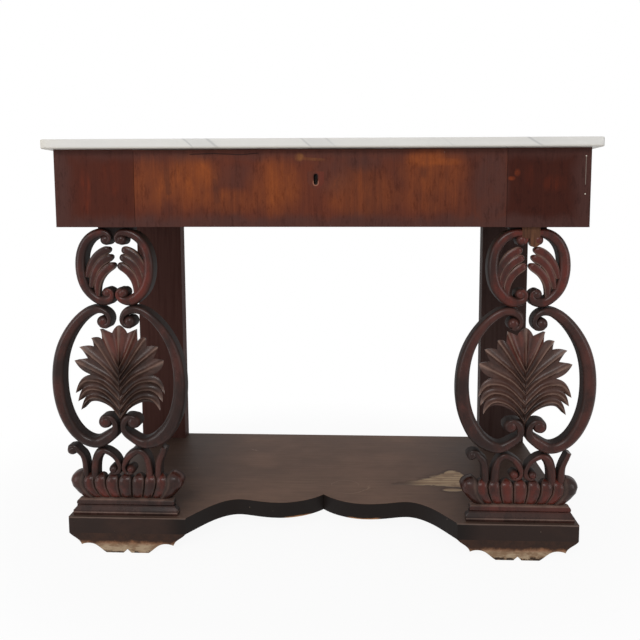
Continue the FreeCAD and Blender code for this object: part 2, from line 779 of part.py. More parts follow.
def ruled(line_a, line_b):
    """Surface of straight lines between two curves of three poles each."""
    surface = Part.BezierSurface()
    surface.increase(1, 2)
    for row, line in ((1, line_a), (2, line_b)):
        for column, pole in enumerate(line):
            surface.setPole(row, column + 1, pole)
    return surface.toShape()


def flat(point):
    """The same place on the flat back, which is cut forward of the scrolls' backs."""
    return vec(point.x, -leaf_undercut, point.z)


def palmette():
    """Fan of ridged leaves: each side of a leaf is a surface between its rib and the next valley."""
    lines = []
    for ridge, valley in zip(palmette_ridge_shares, palmette_valley_shares):
        lines.append(palmette_line(ridge, ridge_rise_root, ridge_rise_tip))
        lines.append(palmette_line(valley, valley_rise_root, valley_rise_notch))
    under = [flat(pole) for pole in lines[-1]]
    faces = [ruled(a, b) for a, b in zip(lines, lines[1:])]
    faces.append(ruled(lines[-1], under))
    lower_edge = Part.BezierCurve()
    lower_edge.setPoles(under)
    rim = [lower_edge.toShape()]
    for a, b in zip(lines, lines[1:]):
        faces.append(polygon([a[-1], b[-1], flat(b[-1]), flat(a[-1])]))
        rim.append(Part.makeLine(flat(a[-1]), flat(b[-1])))
    faces += [mirrored(face) for face in faces]
    rim += [mirrored(edge) for edge in rim]
    faces.append(Part.Face(Part.Wire(Part.__sortEdges__(rim))))
    shell = Part.makeShell(faces)
    shell.sewShape()
    fan = Part.Solid(shell)
    if fan.Volume < 0:
        fan.reverse()
    return fan


def repair_seat(play):
    """Block with a half-round lower end, let into the front of the right upper scroll."""
    radius = (repair_width - repair_strip_width) / 2 + play
    x0 = -repair_offset - play
    x1 = repair_width - repair_offset + play
    z0 = frieze_bottom - repair_height - play
    y0 = -carving_thickness - overrun * bool(play)
    y1 = repair_thickness - carving_thickness + play
    plate_x = x1 - 2 * radius
    plate = box(plate_x, x1, y0, y1, z0 + radius, frieze_bottom)
    end = cylinder(radius, y1 - y0, vec(x1 - radius, y0, z0 + radius), vec(0, 1, 0))
    strip = box(x0, plate_x, y0, y1, frieze_bottom - repair_strip_height - play, frieze_bottom)
    return plate.multiFuse([end, strip]).removeSplitter()


# Placing and writing


def on_support(shape, x):
    """Moves a carving from its own axis to a place on the left or right support."""
    placed = shape.copy()
    placed.translate(vec(x, carving_back, 0))
    return placed


def bored(shape, z_middle):
    return shape.cut(Part.makeCompound(dowel_holes(z_middle)))


def support_dowels():
    pegs = []
    for z in (shelf_top, frieze_bottom):
        for x, y in dowel_places():
            pegs.append(cylinder(dowel_radius, dowel_length, vec(x, y, z - dowel_length / 2), vec(0, 0, 1)))
    return Part.makeCompound(pegs)


def pair(pieces, name, right):
    """Adds a right-hand piece and its mirror image."""
    pieces[name + "_left"] = mirrored(right)
    pieces[name + "_right"] = right


def all_pieces():
    pieces = {"marble_top": marble_top()}
    pair(pieces, "frieze_end", frieze_end())
    pair(pieces, "frieze_side", frieze_side())
    pieces["frieze_back"] = frieze_back()
    pieces["bottom_rail"] = bottom_rail()
    pieces["top_rail"] = top_rail()
    pair(pieces, "drawer_runner", drawer_runner())
    pair(pieces, "drawer_guide", drawer_guide())
    pair(pieces, "drawer_kicker", drawer_kicker())
    stop = drawer_stop()
    pieces["drawer_stops"] = Part.makeCompound([stop, mirrored(stop)])
    blocks = [corner_block_piece(front_inside, 1), corner_block_piece(back_inside, -1)]
    pieces["corner_blocks"] = Part.makeCompound(blocks + [mirrored(b) for b in blocks])
    pieces["drawer_front"] = drawer_front().cut(Part.makeCompound(screw_pilot_holes()))
    pair(pieces, "drawer_side", drawer_side())
    pieces["drawer_back"] = drawer_back()
    pieces["drawer_bottom"] = panel()
    pieces["keyhole_shield"] = keyhole_shield()
    pieces["lock_plate"] = lock_plate_piece()
    pieces["lock_cap"] = lock_cap()
    pieces["lock_bolt"] = lock_bolt()
    pieces["key_pin"] = key_pin()
    pieces["lock_screws"] = lock_screws()
    pieces["shelf"] = shelf()
    pair(pieces, "front_foot", front_foot())
    pair(pieces, "rear_foot", rear_foot())
    pair(pieces, "rear_pilaster", rear_pilaster())
    carvings = {"upper_scroll": (upper_scroll(), support_axis), "oval_scroll": (oval_scroll(), support_axis),
                "scroll_gallery": (scroll_gallery(), support_axis), "palmette": (palmette(), support_axis),
                "gadroon_basket": (gadroon_basket(), base_axis), "base_moulding": (base_moulding(), base_axis)}
    for name, (shape, axis) in carvings.items():
        for side, word in ((-1, "left"), (1, "right")):
            pieces[name + "_" + word] = on_support(shape, side * axis)
    for word in ("left", "right"):
        pieces["upper_scroll_" + word] = bored(pieces["upper_scroll_" + word], frieze_bottom)
        pieces["gadroon_basket_" + word] = bored(pieces["gadroon_basket_" + word], shelf_top)
    seat = on_support(repair_seat(repair_play), support_axis)
    pieces["upper_scroll_right"] = pieces["upper_scroll_right"].cut(seat)
    pieces["repair_block"] = on_support(repair_seat(0), support_axis)
    pieces["support_dowels"] = support_dowels()
    return pieces


for name, shape in all_pieces().items():
    solids = shape.Solids
    print(name, len(solids), "solids", round(shape.Volume), "mm3", "valid" if shape.isValid() else "NOT VALID")
    whole = solids[0] if len(solids) == 1 else Part.makeCompound(solids)
    whole.exportStep("parts/" + name + ".step")
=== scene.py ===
# %% [markdown]
# # A pier table with a marble top and pierced, carved supports
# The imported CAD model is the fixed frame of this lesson. Nothing in it is moved: most of its parts only get
# a finish, and the carved parts are replaced by finer surfaces that are worked out with numpy.

# %% Load the frame
import functools
import math
import bmesh
import bpy
import numpy as np
from mathutils import Matrix, Vector


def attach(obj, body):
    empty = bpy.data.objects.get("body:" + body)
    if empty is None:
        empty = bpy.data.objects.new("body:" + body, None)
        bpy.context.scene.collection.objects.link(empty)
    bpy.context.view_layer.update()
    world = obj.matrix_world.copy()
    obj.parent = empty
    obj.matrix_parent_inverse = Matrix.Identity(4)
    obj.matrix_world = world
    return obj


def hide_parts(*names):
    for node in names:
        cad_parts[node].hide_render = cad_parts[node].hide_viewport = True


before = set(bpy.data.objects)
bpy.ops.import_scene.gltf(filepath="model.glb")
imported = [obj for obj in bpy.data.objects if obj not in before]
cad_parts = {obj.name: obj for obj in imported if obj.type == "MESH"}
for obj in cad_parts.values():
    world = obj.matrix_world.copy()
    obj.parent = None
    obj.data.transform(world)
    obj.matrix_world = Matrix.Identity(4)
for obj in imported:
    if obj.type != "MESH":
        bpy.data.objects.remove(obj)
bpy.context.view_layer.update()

bpy.context.scene.view_settings.view_transform = "Standard"

# %% [markdown]
# ## Camera
# The straight edges of the frieze, shelf and blocks fix where the eye stood: a little right of the middle,
# at chest height, looking slightly down. The lens shift stands for a picture that was cropped off centre.

# %% Camera
eye = Vector((0.0926, -1.4232, 0.7877))
yaw, pitch, roll = -0.0337, 0.0802, -0.0013
look = Vector((math.sin(yaw) * math.cos(pitch), math.cos(yaw) * math.cos(pitch), -math.sin(pitch)))
turn = look.to_track_quat("-Z", "Y").to_matrix() @ Matrix.Rotation(roll, 3, "Z")
lens = bpy.data.cameras.new("table_camera")
lens.sensor_width = 36.0
lens.lens = 31.53
lens.shift_x, lens.shift_y = -0.0361, -0.1095
camera = bpy.data.objects.new("table_camera", lens)
camera.matrix_world = Matrix.Translation(eye) @ turn.to_4x4()
bpy.context.scene.collection.objects.link(camera)
bpy.context.scene.camera = camera
print("camera looks along", [round(v, 3) for v in look])

# %% [markdown]
# ## Shader sums
# A finish is easier to read as a formula than as a drawing of nodes. `Value` wraps one socket, and every
# operator on it adds a Math node, so `1 - mask * 0.5` makes two. Colours are written as a screen shows them,
# and `linear` turns them into the light that the shader works with.

# %% Shader sums
def linear(red, green, blue):
    """Screen colour from 0 to 255 as linear light: each channel to the power 2.4 above its straight foot."""
    shares = [c / 255 for c in (red, green, blue)]
    return tuple(c / 12.92 if c <= 0.04045 else ((c + 0.055) / 1.055) ** 2.4 for c in shares) + (1.0,)


class Value:
    """A socket that takes part in sums."""

    def __init__(self, finish, socket):
        self.finish, self.socket = finish, socket

    def math(self, operation, first, second):
        """Adds one Math node."""
        return Value(self.finish, self.finish.node(
            "ShaderNodeMath", {"operation": operation}, {0: first, 1: second}).outputs[0])

    def __add__(self, other):
        return self.math("ADD", self, other)

    def __sub__(self, other):
        return self.math("SUBTRACT", self, other)

    def __rsub__(self, other):
        return self.math("SUBTRACT", other, self)

    def __mul__(self, other):
        return self.math("MULTIPLY", self, other)

    def __truediv__(self, other):
        return self.math("DIVIDE", self, other)

    def __pow__(self, other):
        return self.math("POWER", self, other)

    __radd__, __rmul__ = __add__, __mul__

    def least(self, other):
        return self.math("MINIMUM", self, other)

    def most(self, other):
        return self.math("MAXIMUM", self, other)

    def size(self):
        return self.math("ABSOLUTE", self, 0.0)

    def step(self, low, high):
        """Smooth step from 0 at low to 1 at high; low may be the larger one."""
        node = self.finish.node("ShaderNodeMapRange", {"interpolation_type": "SMOOTHSTEP"},
                                {0: self, 1: low, 2: high, 3: 0.0, 4: 1.0})
        return Value(self.finish, node.outputs[0])


def most_of(first, *others):
    """The largest of several values."""
    return functools.reduce(Value.most, others, first)


print("middle grey in linear light", round(linear(128, 128, 128)[0], 3))

# %% [markdown]
# ## Finishes
# `Finish` holds one material: a Principled shader, and the nodes that change its colour, gloss and relief
# from place to place. Its `node` method adds any node. The other methods are the marks that old wood shows:
# clouds, specks, soft spots, strokes and ragged lines. All of them read Object coordinates or marks that are
# stored on the vertices, so that they stay on the piece.

# %% Finishes
speck_core, stroke_core = 0.4, 0.3


class Finish:
    """One material: a Principled shader and the nodes that vary its colour, gloss and relief."""

    def __init__(self, name, **constants):
        self.material = bpy.data.materials.new(name)
        self.material.use_nodes = True
        self.tree = self.material.node_tree
        self.shader = self.tree.nodes["Principled BSDF"]
        for socket, value in constants.items():
            self.shader.inputs[socket.replace("_", " ")].default_value = value
        self.place = self.node("ShaderNodeTexCoord").outputs["Object"]
        axes = self.node("ShaderNodeSeparateXYZ", {}, {0: self.place}).outputs
        self.x, self.y, self.z = (Value(self, socket) for socket in axes)

    def node(self, kind, settings=None, inputs=None):
        """Adds a node: its settings first, then values or links for its sockets."""
        node = self.tree.nodes.new(kind)
        for key, value in (settings or {}).items():
            setattr(node, key, value)
        for key, value in (inputs or {}).items():
            self.feed(node.inputs[key], value)
        return node

    def feed(self, socket, value):
        """Links a socket to another one, or sets its value."""
        value = value.socket if isinstance(value, Value) else value
        if isinstance(value, bpy.types.NodeSocket):
            self.tree.links.new(value, socket)
        else:
            socket.default_value = value

    def noise(self, scale, stretch=(1, 1, 1), shift=(0, 0, 0), detail=3.0, rough=0.5, twist=0.0):
        """Cloud pattern on Object coordinates, drawn out along an axis by a small stretch there."""
        spot = self.node("ShaderNodeMapping", {}, {"Vector": self.place, "Scale": stretch, "Location": shift})
        cloud = self.node("ShaderNodeTexNoise", {}, {
            "Vector": spot.outputs[0], "Scale": scale, "Detail": detail, "Roughness": rough,
            "Distortion": twist})
        return Value(self, cloud.outputs[0])

    def specks(self, scale, reach):
        """Small dots: 1 near the points of a Voronoi pattern, 0 away from them."""
        cells = self.node("ShaderNodeTexVoronoi", {}, {"Vector": self.place, "Scale": scale})
        return Value(self, cells.outputs[0]).step(reach, reach * speck_core)

    def mark(self, name):
        """A number that numpy left on the vertices of a piece."""
        return Value(self, self.node("ShaderNodeAttribute", {"attribute_name": name}).outputs["Fac"])

    def mix(self, share, under, over):
        """Colour that goes from under to over as the share goes from 0 to 1."""
        node = self.node("ShaderNodeMix", {"data_type": "RGBA"}, {0: share, 6: under, 7: over})
        return node.outputs[2]

    def shade(self, share, colour, darker):
        """Multiplies a colour by another one, by a share."""
        node = self.node("ShaderNodeMix", {"data_type": "RGBA", "blend_type": "MULTIPLY"},
                         {0: share, 6: colour, 7: darker})
        return node.outputs[2]

    def spot(self, x, z, wide, high, soft=1.0):
        """Soft oval on the front, 1 in its middle: one less the squared distance in its own radii."""
        across = (self.x - x) / wide
        up = (self.z - z) / high
        return (across * across + up * up).step(1.0, 1.0 - soft)

    def spots(self, table):
        """Sum of soft ovals: each row gives the middle, both radii and the share of one."""
        return sum(self.spot(*place) * share for *place, share in table)

    def stroke(self, x0, z0, x1, z1, wide):
        """Thin line on the front: distance to the nearest point of a segment, against its width."""
        dx, dz = x1 - x0, z1 - z0
        along = (((self.x - x0) * dx + (self.z - z0) * dz) / (dx * dx + dz * dz)).most(0.0).least(1.0)
        gap_x = self.x - x0 - along * dx
        gap_z = self.z - z0 - along * dz
        return ((gap_x * gap_x + gap_z * gap_z) ** 0.5).step(wide, wide * stroke_core)

    def beyond(self, x0, y0, x1, y1, shake, soft=0.004):
        """1 to the right of a line in plan: signed distance from it, shaken by noise, as a smooth step."""
        dx, dy = x1 - x0, y1 - y0
        far = math.hypot(dx, dy)
        return ((self.x - x0) * (dy / far) - (self.y - y0) * (dx / far) + shake).step(-soft, soft)

    def finish(self, colour, rough, height=None, depth=0.0005):
        """Feeds the shader: colour, roughness and a relief of a given depth in metres."""
        self.feed(self.shader.inputs["Base Color"], colour)
        self.feed(self.shader.inputs["Roughness"], rough)
        if height is not None:
            bump = self.node("ShaderNodeBump", {}, {"Height": height, "Distance": depth, "Strength": 1.0})
            self.feed(self.shader.inputs["Normal"], bump.outputs[0])
        print("finish", self.material.name, "with", len(self.tree.nodes), "nodes")

    def cover(self, *names):
        """Puts the material on CAD nodes or new pieces."""
        for name in names:
            piece = bpy.data.objects[name]
            piece.data.materials.clear()
            piece.data.materials.append(self.material)


def both(name):
    """Names of the left and the right piece of a pair."""
    return [name + "_left", name + "_right"]


print("a pair is named", both("frieze_end"))

# %% [markdown]
# ## Lamps
# The light is soft, as in a studio: a broad lamp in front, a weaker one at each side and one above. The lamps
# are kept low, so that the pale marble keeps its veins.

# %% Lamps
def lamp(name, place, aim, wide, high, watts):
    """Rectangular area lamp at a place, turned so that it shines at its aim."""
    light = bpy.data.lights.new(name, "AREA")
    light.shape, light.size, light.size_y, light.energy = "RECTANGLE", wide, high, watts
    holder = bpy.data.objects.new(name, light)
    holder.matrix_world = Matrix.Translation(place) @ (
        Vector(aim) - Vector(place)).to_track_quat("-Z", "Y").to_matrix().to_4x4()
    bpy.context.scene.collection.objects.link(holder)
    print(name, watts, "W")


lamp("front_lamp", (-0.4, -2.8, 2.5), (0.0, -0.2, 0.5), 1.5, 0.9, 39.0)
lamp("left_lamp", (-2.4, -1.9, 0.9), (0.0, 0.0, 0.5), 0.6, 1.7, 14.5)
lamp("right_lamp", (2.4, -1.8, 0.9), (0.0, 0.0, 0.5), 0.6, 1.7, 12.0)
lamp("top_lamp", (0.0, 0.3, 3.0), (0.0, 0.0, 0.4), 2.0, 1.4, 8.5)

# %% [markdown]
# ## Sky and floor
# The white of the background is only what the eye and mirror-like surfaces see, so that the table itself is
# lit at a plain level by a grey sky. The floor is pale. Near the table it keeps part of its own shading, and
# with it the table's shadow; further off it fades into the background.

# %% Sky
sky_strength = 0.325


def seen_rays(tree):
    """1 for rays from the eye, and for those that a mirror or glass passes on."""
    rays = tree.nodes.new("ShaderNodeLightPath").outputs
    first = tree.nodes.new("ShaderNodeMath")
    second = tree.nodes.new("ShaderNodeMath")
    first.operation = second.operation = "MAXIMUM"
    tree.links.new(rays["Is Camera Ray"], first.inputs[0])
    tree.links.new(rays["Is Glossy Ray"], first.inputs[1])
    tree.links.new(first.outputs[0], second.inputs[0])
    tree.links.new(rays["Is Transmission Ray"], second.inputs[1])
    return second.outputs[0]


sky = bpy.data.worlds.new("studio_sky")
sky.use_nodes = True
tree = sky.node_tree
tree.nodes.clear()
shown, lit = tree.nodes.new("ShaderNodeBackground"), tree.nodes.new("ShaderNodeBackground")
shown.inputs["Color"].default_value = lit.inputs["Color"].default_value = (1.0, 1.0, 1.0, 1.0)
lit.inputs["Strength"].default_value = sky_strength
choice = tree.nodes.new("ShaderNodeMixShader")
tree.links.new(seen_rays(tree), choice.inputs[0])
tree.links.new(lit.outputs[0], choice.inputs[1])
tree.links.new(shown.outputs[0], choice.inputs[2])
tree.links.new(choice.outputs[0], tree.nodes.new("ShaderNodeOutputWorld").inputs[0])
bpy.context.scene.world = sky
print("sky lights at", sky_strength)

# %% Floor
floor_half, floor_drop = 6.0, 0.0004
near_glow = 0.93
corners = [(-1, -1), (1, -1), (1, 1), (-1, 1)]
floor_mesh = bpy.data.meshes.new("floor")
floor_places = [(x * floor_half, y * floor_half, -floor_drop) for x, y in corners]
floor_mesh.from_pydata(floor_places, [], [(0, 1, 2, 3)])
floor = bpy.data.objects.new("floor", floor_mesh)
bpy.context.scene.collection.objects.link(floor)
pale = Finish("pale_floor", Base_Color=(0.86, 0.86, 0.86, 1.0), Roughness=0.9)
away = (pale.x * pale.x + pale.y * pale.y * 2.5) ** 0.5
glow_share = Value(pale, seen_rays(pale.tree)) * (near_glow + away.step(0.7, 1.3) * (1 - near_glow))
glow = pale.node("ShaderNodeEmission")
choice = pale.node("ShaderNodeMixShader", {}, {0: glow_share, 1: pale.shader.outputs[0], 2: glow.outputs[0]})
pale.feed(pale.tree.nodes["Material Output"].inputs[0], choice.outputs[0])
pale.cover("floor")
print("floor", 2 * floor_half, "m wide")

# %% [markdown]
# ## Marble
# The slab is a white marble with faint grey veins that run aslant, and its left end has yellowed. The veins
# follow a wave that is bent by noise, and a second noise breaks them off here and there. A vein that was
# drawn on an image would end at the slab's edge; this one goes on through the stone and down its front.

# %% Marble
stone = Finish("marble", Specular_IOR_Level=0.25)
cloud = stone.noise(3.0, (1.0, 2.0, 2.0), detail=5.0, twist=0.6)
drift = stone.noise(1.6, (1.0, 1.0, 1.0), (5.0, 2.0, 0.0), detail=4.0)
aslant = stone.x + stone.y * 0.55 + stone.z * 1.4 + drift * 0.34
line_up = stone.node("ShaderNodeCombineXYZ", {}, {0: aslant})
wave = stone.node("ShaderNodeTexWave", {"wave_profile": "SIN"}, {
    "Vector": line_up.outputs[0], "Scale": 1.3, "Distortion": 1.0, "Detail": 3.0, "Detail Scale": 2.0})
band = Value(stone, wave.outputs[1])
broken = stone.noise(5.0, (1.0, 1.0, 1.0), (8.0, 3.0, 1.0), detail=3.0).step(0.42, 0.62)
soft_vein = band.step(0.72, 1.0) * (0.25 + broken * 0.75)
fine_vein = (band - 0.86).size().step(0.05, 0.0) * broken
colour = stone.mix(cloud, linear(212, 210, 205), linear(226, 224, 220))
colour = stone.mix(soft_vein * 0.16, colour, linear(176, 178, 181))
colour = stone.mix(fine_vein * 0.34, colour, linear(128, 131, 136))
yellowed = stone.x.step(-0.52, -0.62) * stone.noise(14.0, detail=4.0).step(0.3, 0.7)
colour = stone.mix(yellowed * 0.5, colour, linear(222, 206, 170))
# Painted shade: the lowest few millimetres of the slab are darkened, as under its overhang.
under = stone.z.step(0.9125, 0.9085)
colour = stone.mix(under * 0.5, colour, linear(190, 184, 172))
stone.finish(colour, 0.30 + cloud * 0.15)
stone.cover("marble_top")

# %% [markdown]
# ## Frieze veneer
# The frieze and drawer are faced with mahogany veneer, its grain upright. On the real table the old polish
# is worn through in places, so the wood turns from a dark purple brown at the edges to orange brown in the
# middle. The grain is noise that is squeezed across and drawn out upwards; the worn places are soft ovals
# that are broken up by streaks and mottling. A material for each board would have to be matched at the
# seams. One material on the table's own coordinates runs on from board to board.

# %% Frieze grain and wear
veneer = Finish("veneer", Specular_IOR_Level=0.09)
fibre = veneer.noise(9.0, (38.0, 6.0, 0.9), detail=6.0, rough=0.65)
streak = veneer.noise(6.0, (9.0, 2.0, 0.7), (1.3, 0.0, 0.2), detail=5.0, rough=0.6, twist=0.25)
mottle = veneer.noise(13.0, (1.2, 1.0, 0.8), (4.0, 1.0, 2.0), detail=6.0, rough=0.65)
broad = veneer.noise(4.0, (1.0, 1.0, 0.8), (9.0, 1.0, 5.0), detail=3.0)
worn_places = [
    (-0.365, 0.832, 0.058, 0.072, 0.60), (-0.280, 0.838, 0.070, 0.074, 0.80),
    (-0.238, 0.855, 0.035, 0.040, 0.45), (-0.092, 0.828, 0.072, 0.080, 0.75),
    (-0.095, 0.838, 0.014, 0.070, 0.30), (0.090, 0.815, 0.095, 0.065, 0.55),
    (0.245, 0.862, 0.092, 0.058, 0.58), (0.225, 0.885, 0.050, 0.022, 0.55),
    (0.270, 0.878, 0.042, 0.010, 0.45), (0.240, 0.805, 0.090, 0.045, 0.38),
    (-0.190, 0.795, 0.080, 0.035, 0.45)]
worn = veneer.spots(worn_places)
worn = (worn * (0.45 + streak.step(0.36, 0.66) * 0.35 + mottle.step(0.36, 0.70) * 0.40)).least(1.0)
bright = worn * mottle.step(0.50, 0.75) * streak.step(0.42, 0.62)
colour = veneer.mix(streak.step(0.34, 0.68), linear(80, 42, 32), linear(96, 49, 34))
colour = veneer.mix(broad.step(0.40, 0.65) * 0.35, colour, linear(104, 48, 31))
colour = veneer.mix(worn, colour, linear(134, 69, 34))
colour = veneer.mix(bright * 0.6, colour, linear(158, 84, 33))
print("worn places", len(worn_places))

# %% [markdown]
# ## Frieze ends and dull edges
# The two end boards are darker than the drawer, with a few red streaks, and the polish has gone dull along
# the edges and in some faded patches. The seam beside the drawer is a straight step on x. The dull edges are
# steps on coordinates that noise has shaken, because a straight border there would look painted.

# %% Frieze ends and dull edges
drawer_seam = (0.3975, 0.3990)
colour = veneer.mix(veneer.x.size().step(*drawer_seam) * 0.75, colour, linear(66, 27, 17))
colour = veneer.mix(veneer.x.step(*drawer_seam) * 0.6, colour, linear(48, 18, 11))
red_places = [(-0.506, 0.812, 0.016, 0.065, 1.0), (-0.447, 0.848, 0.030, 0.050, 0.5),
              (0.444, 0.846, 0.014, 0.036, 0.8), (0.498, 0.832, 0.030, 0.025, 0.5)]
red_grain = 0.08 + mottle.step(0.38, 0.65) * streak.step(0.38, 0.60) * 0.6
colour = veneer.mix((veneer.spots(red_places) * red_grain).least(1.0), colour, linear(120, 47, 22))
shake = (mottle - 0.5) * 0.05
faded = most_of(veneer.spot(0.365, 0.820, 0.045, 0.120, 0.8), veneer.spot(-0.172, 0.850, 0.060, 0.036) * 0.5,
                veneer.spot(0.030, 0.850, 0.050, 0.060) * 0.6, veneer.spot(0.095, 0.880, 0.055, 0.030) * 0.7)
dull = most_of((veneer.z + shake).step(0.872, 0.905) * 0.8, (veneer.z + shake).step(0.775, 0.748),
               (veneer.x.size() + shake).step(0.520, 0.560), faded * (0.35 + mottle.step(0.30, 0.65) * 0.65))
dull = dull * (1 - veneer.spot(0.225, 0.885, 0.075, 0.030) * 0.8)
colour = veneer.mix(dull * 0.72, colour, linear(74, 49, 45))
fleck = veneer.noise(42.0, (2.2, 1.0, 0.8), (3.0, 1.0, 7.0), detail=6.0, rough=0.7)
colour = veneer.shade(fibre.step(0.35, 0.75) * 0.28, colour, linear(190, 164, 158))
colour = veneer.shade(fleck.step(0.50, 0.68) * 0.45, colour, linear(165, 142, 138))
colour = veneer.mix(fleck.step(0.46, 0.32) * worn * 0.30, colour, linear(160, 82, 38))
print("red streaks", len(red_places))

# %% [markdown]
# ## Frieze marks
# Long use has left dark smudges, a crack along the top of the drawer, a pale scratch over the keyhole, a gash
# in the right end board and two nails in it. They are strokes and small ovals, most of them broken by the
# same mottling as the wood. The crack and some small dents also go into the relief. They could be cut into
# the mesh, but they are less than a millimetre deep, so a relief in the shader is enough.

# %% Frieze marks
smudge = most_of(
    veneer.stroke(-0.327, 0.862, -0.323, 0.815, 0.009), veneer.stroke(-0.224, 0.838, -0.219, 0.797, 0.009),
    veneer.spot(0.222, 0.856, 0.009, 0.016), veneer.spot(0.103, 0.795, 0.006, 0.008))
colour = veneer.mix(smudge * mottle.step(0.30, 0.70) * 0.55, colour, linear(56, 34, 30))
crack = most_of(veneer.stroke(-0.275, 0.8958, -0.225, 0.8972, 0.0013),
                veneer.stroke(-0.225, 0.8972, -0.165, 0.8945, 0.0013),
                veneer.stroke(-0.165, 0.8945, -0.130, 0.8975, 0.0012))
colour = veneer.mix(crack * 0.85, colour, linear(38, 28, 27))
scratch = most_of(veneer.spot(-0.041, 0.889, 0.013, 0.011),
                  veneer.stroke(-0.036, 0.886, 0.014, 0.8825, 0.0045) * 0.5)
colour = veneer.mix(scratch * (0.04 + mottle.step(0.44, 0.62) * 0.40), colour, linear(160, 106, 52))
gash = veneer.spot(0.407, 0.843, 0.010, 0.006).most(veneer.spot(0.419, 0.855, 0.008, 0.010))
colour = veneer.mix(gash * (0.15 + mottle.step(0.38, 0.62) * 0.5), colour, linear(140, 62, 32))
nail_x, nail_half = 0.5606, 0.0016
nails = most_of(*(veneer.spot(nail_x, nail_z, nail_half, nail_half, 0.5) for nail_z in (0.889, 0.810)),
                veneer.stroke(nail_x, 0.889, nail_x, 0.830, 0.0007) * 0.35)
dents = veneer.specks(46.0, 0.09) * mottle.step(0.6, 0.7)
colour = veneer.mix(nails.most(dents * 0.3), colour, linear(205, 195, 180))
gloss = 0.36 + mottle * 0.18 + dull * 0.08
veneer.finish(colour, gloss, fibre * 0.3 + mottle * 0.5 - crack * 1.5 - dents * 0.5, 0.0006)
veneer.cover("drawer_front", *both("frieze_end"), *both("frieze_side"))

# %% [markdown]
# ## Surfaces for the carving
# A carver works a leaf as a surface between two lines: the rib that is left standing and the valley beside
# it. The helpers do the same. `spline` draws the lines, and `carve` takes pairs of grids, one for the front
# and one for the back, and walls them together into closed pieces.

# %% Lines and curves
def spline(points, count):
    """Natural cubic spline over the chord length of the points, read at evenly spaced places."""
    points = np.asarray(points, float)
    gaps = np.linalg.norm(np.diff(points, axis=0), axis=1)
    length = np.concatenate([[0.0], np.cumsum(gaps)])
    inner = np.arange(1, len(points) - 1)
    system = np.eye(len(points))
    system[inner, inner - 1], system[inner, inner + 1] = gaps[:-1], gaps[1:]
    system[inner, inner] = 2 * (gaps[:-1] + gaps[1:])
    load = np.zeros_like(points)
    load[inner] = 6 * np.diff(np.diff(points, axis=0) / gaps[:, None], axis=0)
    bend = np.linalg.solve(system, load)
    place = np.linspace(0.0, length[-1], count)
    at = np.clip(np.searchsorted(length, place, side="right") - 1, 0, len(points) - 2)
    gap, after, before = gaps[at][:, None], (length[at + 1] - place)[:, None], (place - length[at])[:, None]
    curved = (bend[at] * after ** 3 + bend[at + 1] * before ** 3) / (6 * gap)
    return curved + (points[at] / gap - bend[at] * gap / 6) * after + (
        points[at + 1] / gap - bend[at + 1] * gap / 6) * before


def normals(line):
    """Unit vectors across a flat line: its direction, turned by a quarter."""
    run = np.gradient(line, axis=0)
    return np.stack([run[:, 1], -run[:, 0]], -1) / np.linalg.norm(run, axis=1)[:, None]


def closing(s, start):
    """1 up to the start, and from there to 1 the root of one less a square, as a fingertip closes."""
    return np.sqrt(np.clip(1 - (np.clip(s - start, 0, None) / (1 - start)) ** 2, 0, 1))


def bell(value, place, wide):
    """Narrow hill: e to the power of less the squared distance from its place, in its own widths."""
    return np.exp(-((value - place) / wide) ** 2)


print("a closing tip runs", closing(np.linspace(0.8, 1.0, 3), 0.8).round(2))

# %% Closed pieces
merge_reach, sliver, sharp_angle = 1e-6, 1e-7, math.radians(38)


def carve(name, sheets, slot, *replaced):
    """One closed object: each sheet is a front grid and a back grid, and says how worn its front is, how red
    the wear is, and where pale painted highlights run along its thin ridges. A wall of faces joins the two
    grids along their rims."""
    places, faces, start = [], [], 0
    marks = {"proud": [], "red": [], "ridge_highlight": []}
    for front, back, *front_marks in sheets:
        rows, columns = front.shape[:2]
        count = rows * columns
        index = np.arange(count).reshape(rows, columns)
        quads = np.stack([index[:-1, :-1], index[1:, :-1], index[1:, 1:], index[:-1, 1:]], -1).reshape(-1, 4)
        rim = np.concatenate([index[0, :-1], index[:-1, -1], index[-1, :0:-1], index[:0:-1, 0]])
        walls = np.stack([rim, np.roll(rim, -1), np.roll(rim, -1) + count, rim + count], -1)
        faces.append(np.concatenate([quads, quads[:, ::-1] + count, walls]) + start)
        places += [front.reshape(-1, 3), back.reshape(-1, 3)]
        for values, mark in zip(marks.values(), front_marks):
            # The back grid gets marks of 0, so the side walls fade into the painted shade of the finish.
            values += [np.broadcast_to(mark, (rows, columns)).ravel(), np.zeros(count)]
        start += 2 * count
    mesh = bpy.data.meshes.new(name)
    mesh.from_pydata(np.concatenate(places).tolist(), [], np.concatenate(faces).tolist())
    for word, values in marks.items():
        layer = mesh.attributes.new(word, "FLOAT", "POINT")
        layer.data.foreach_set("value", np.concatenate(values).astype(np.float32))
    soup = bmesh.new()
    soup.from_mesh(mesh)
    bmesh.ops.remove_doubles(soup, verts=soup.verts, dist=merge_reach)
    bmesh.ops.dissolve_degenerate(soup, edges=soup.edges, dist=sliver)
    bmesh.ops.recalc_face_normals(soup, faces=soup.faces)
    soup.to_mesh(mesh)
    soup.free()
    mesh.shade_smooth()
    mesh.set_sharp_from_angle(angle=sharp_angle)
    piece = bpy.data.objects.new(name, mesh)
    bpy.context.scene.collection.objects.link(piece)
    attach(piece, "frame")
    if replaced:
        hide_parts(*replaced)
    print("carved", name, "with", len(mesh.polygons), "faces")


board_back = -0.187
support_axis = {"left": -0.450, "right": 0.450}
basket_axis = {"left": -0.445, "right": 0.445}
print("supports stand at", list(support_axis.values()))

# %% [markdown]
# ## Scroll limbs
# Each support is a stack of C-scrolls: a heart, a tall oval, and a little gallery on the basket. A carver
# leaves each limb round in front and cuts its sides straight back. So a limb is a round section carried along
# a path, and the path goes on round the scroll's eye as a spiral whose distance shrinks by the same share at
# each step. The paths were measured on the photo, where a limb and its dark side wall are one band; the
# camera looks at the walls aslant, so the wall's part is taken off again.

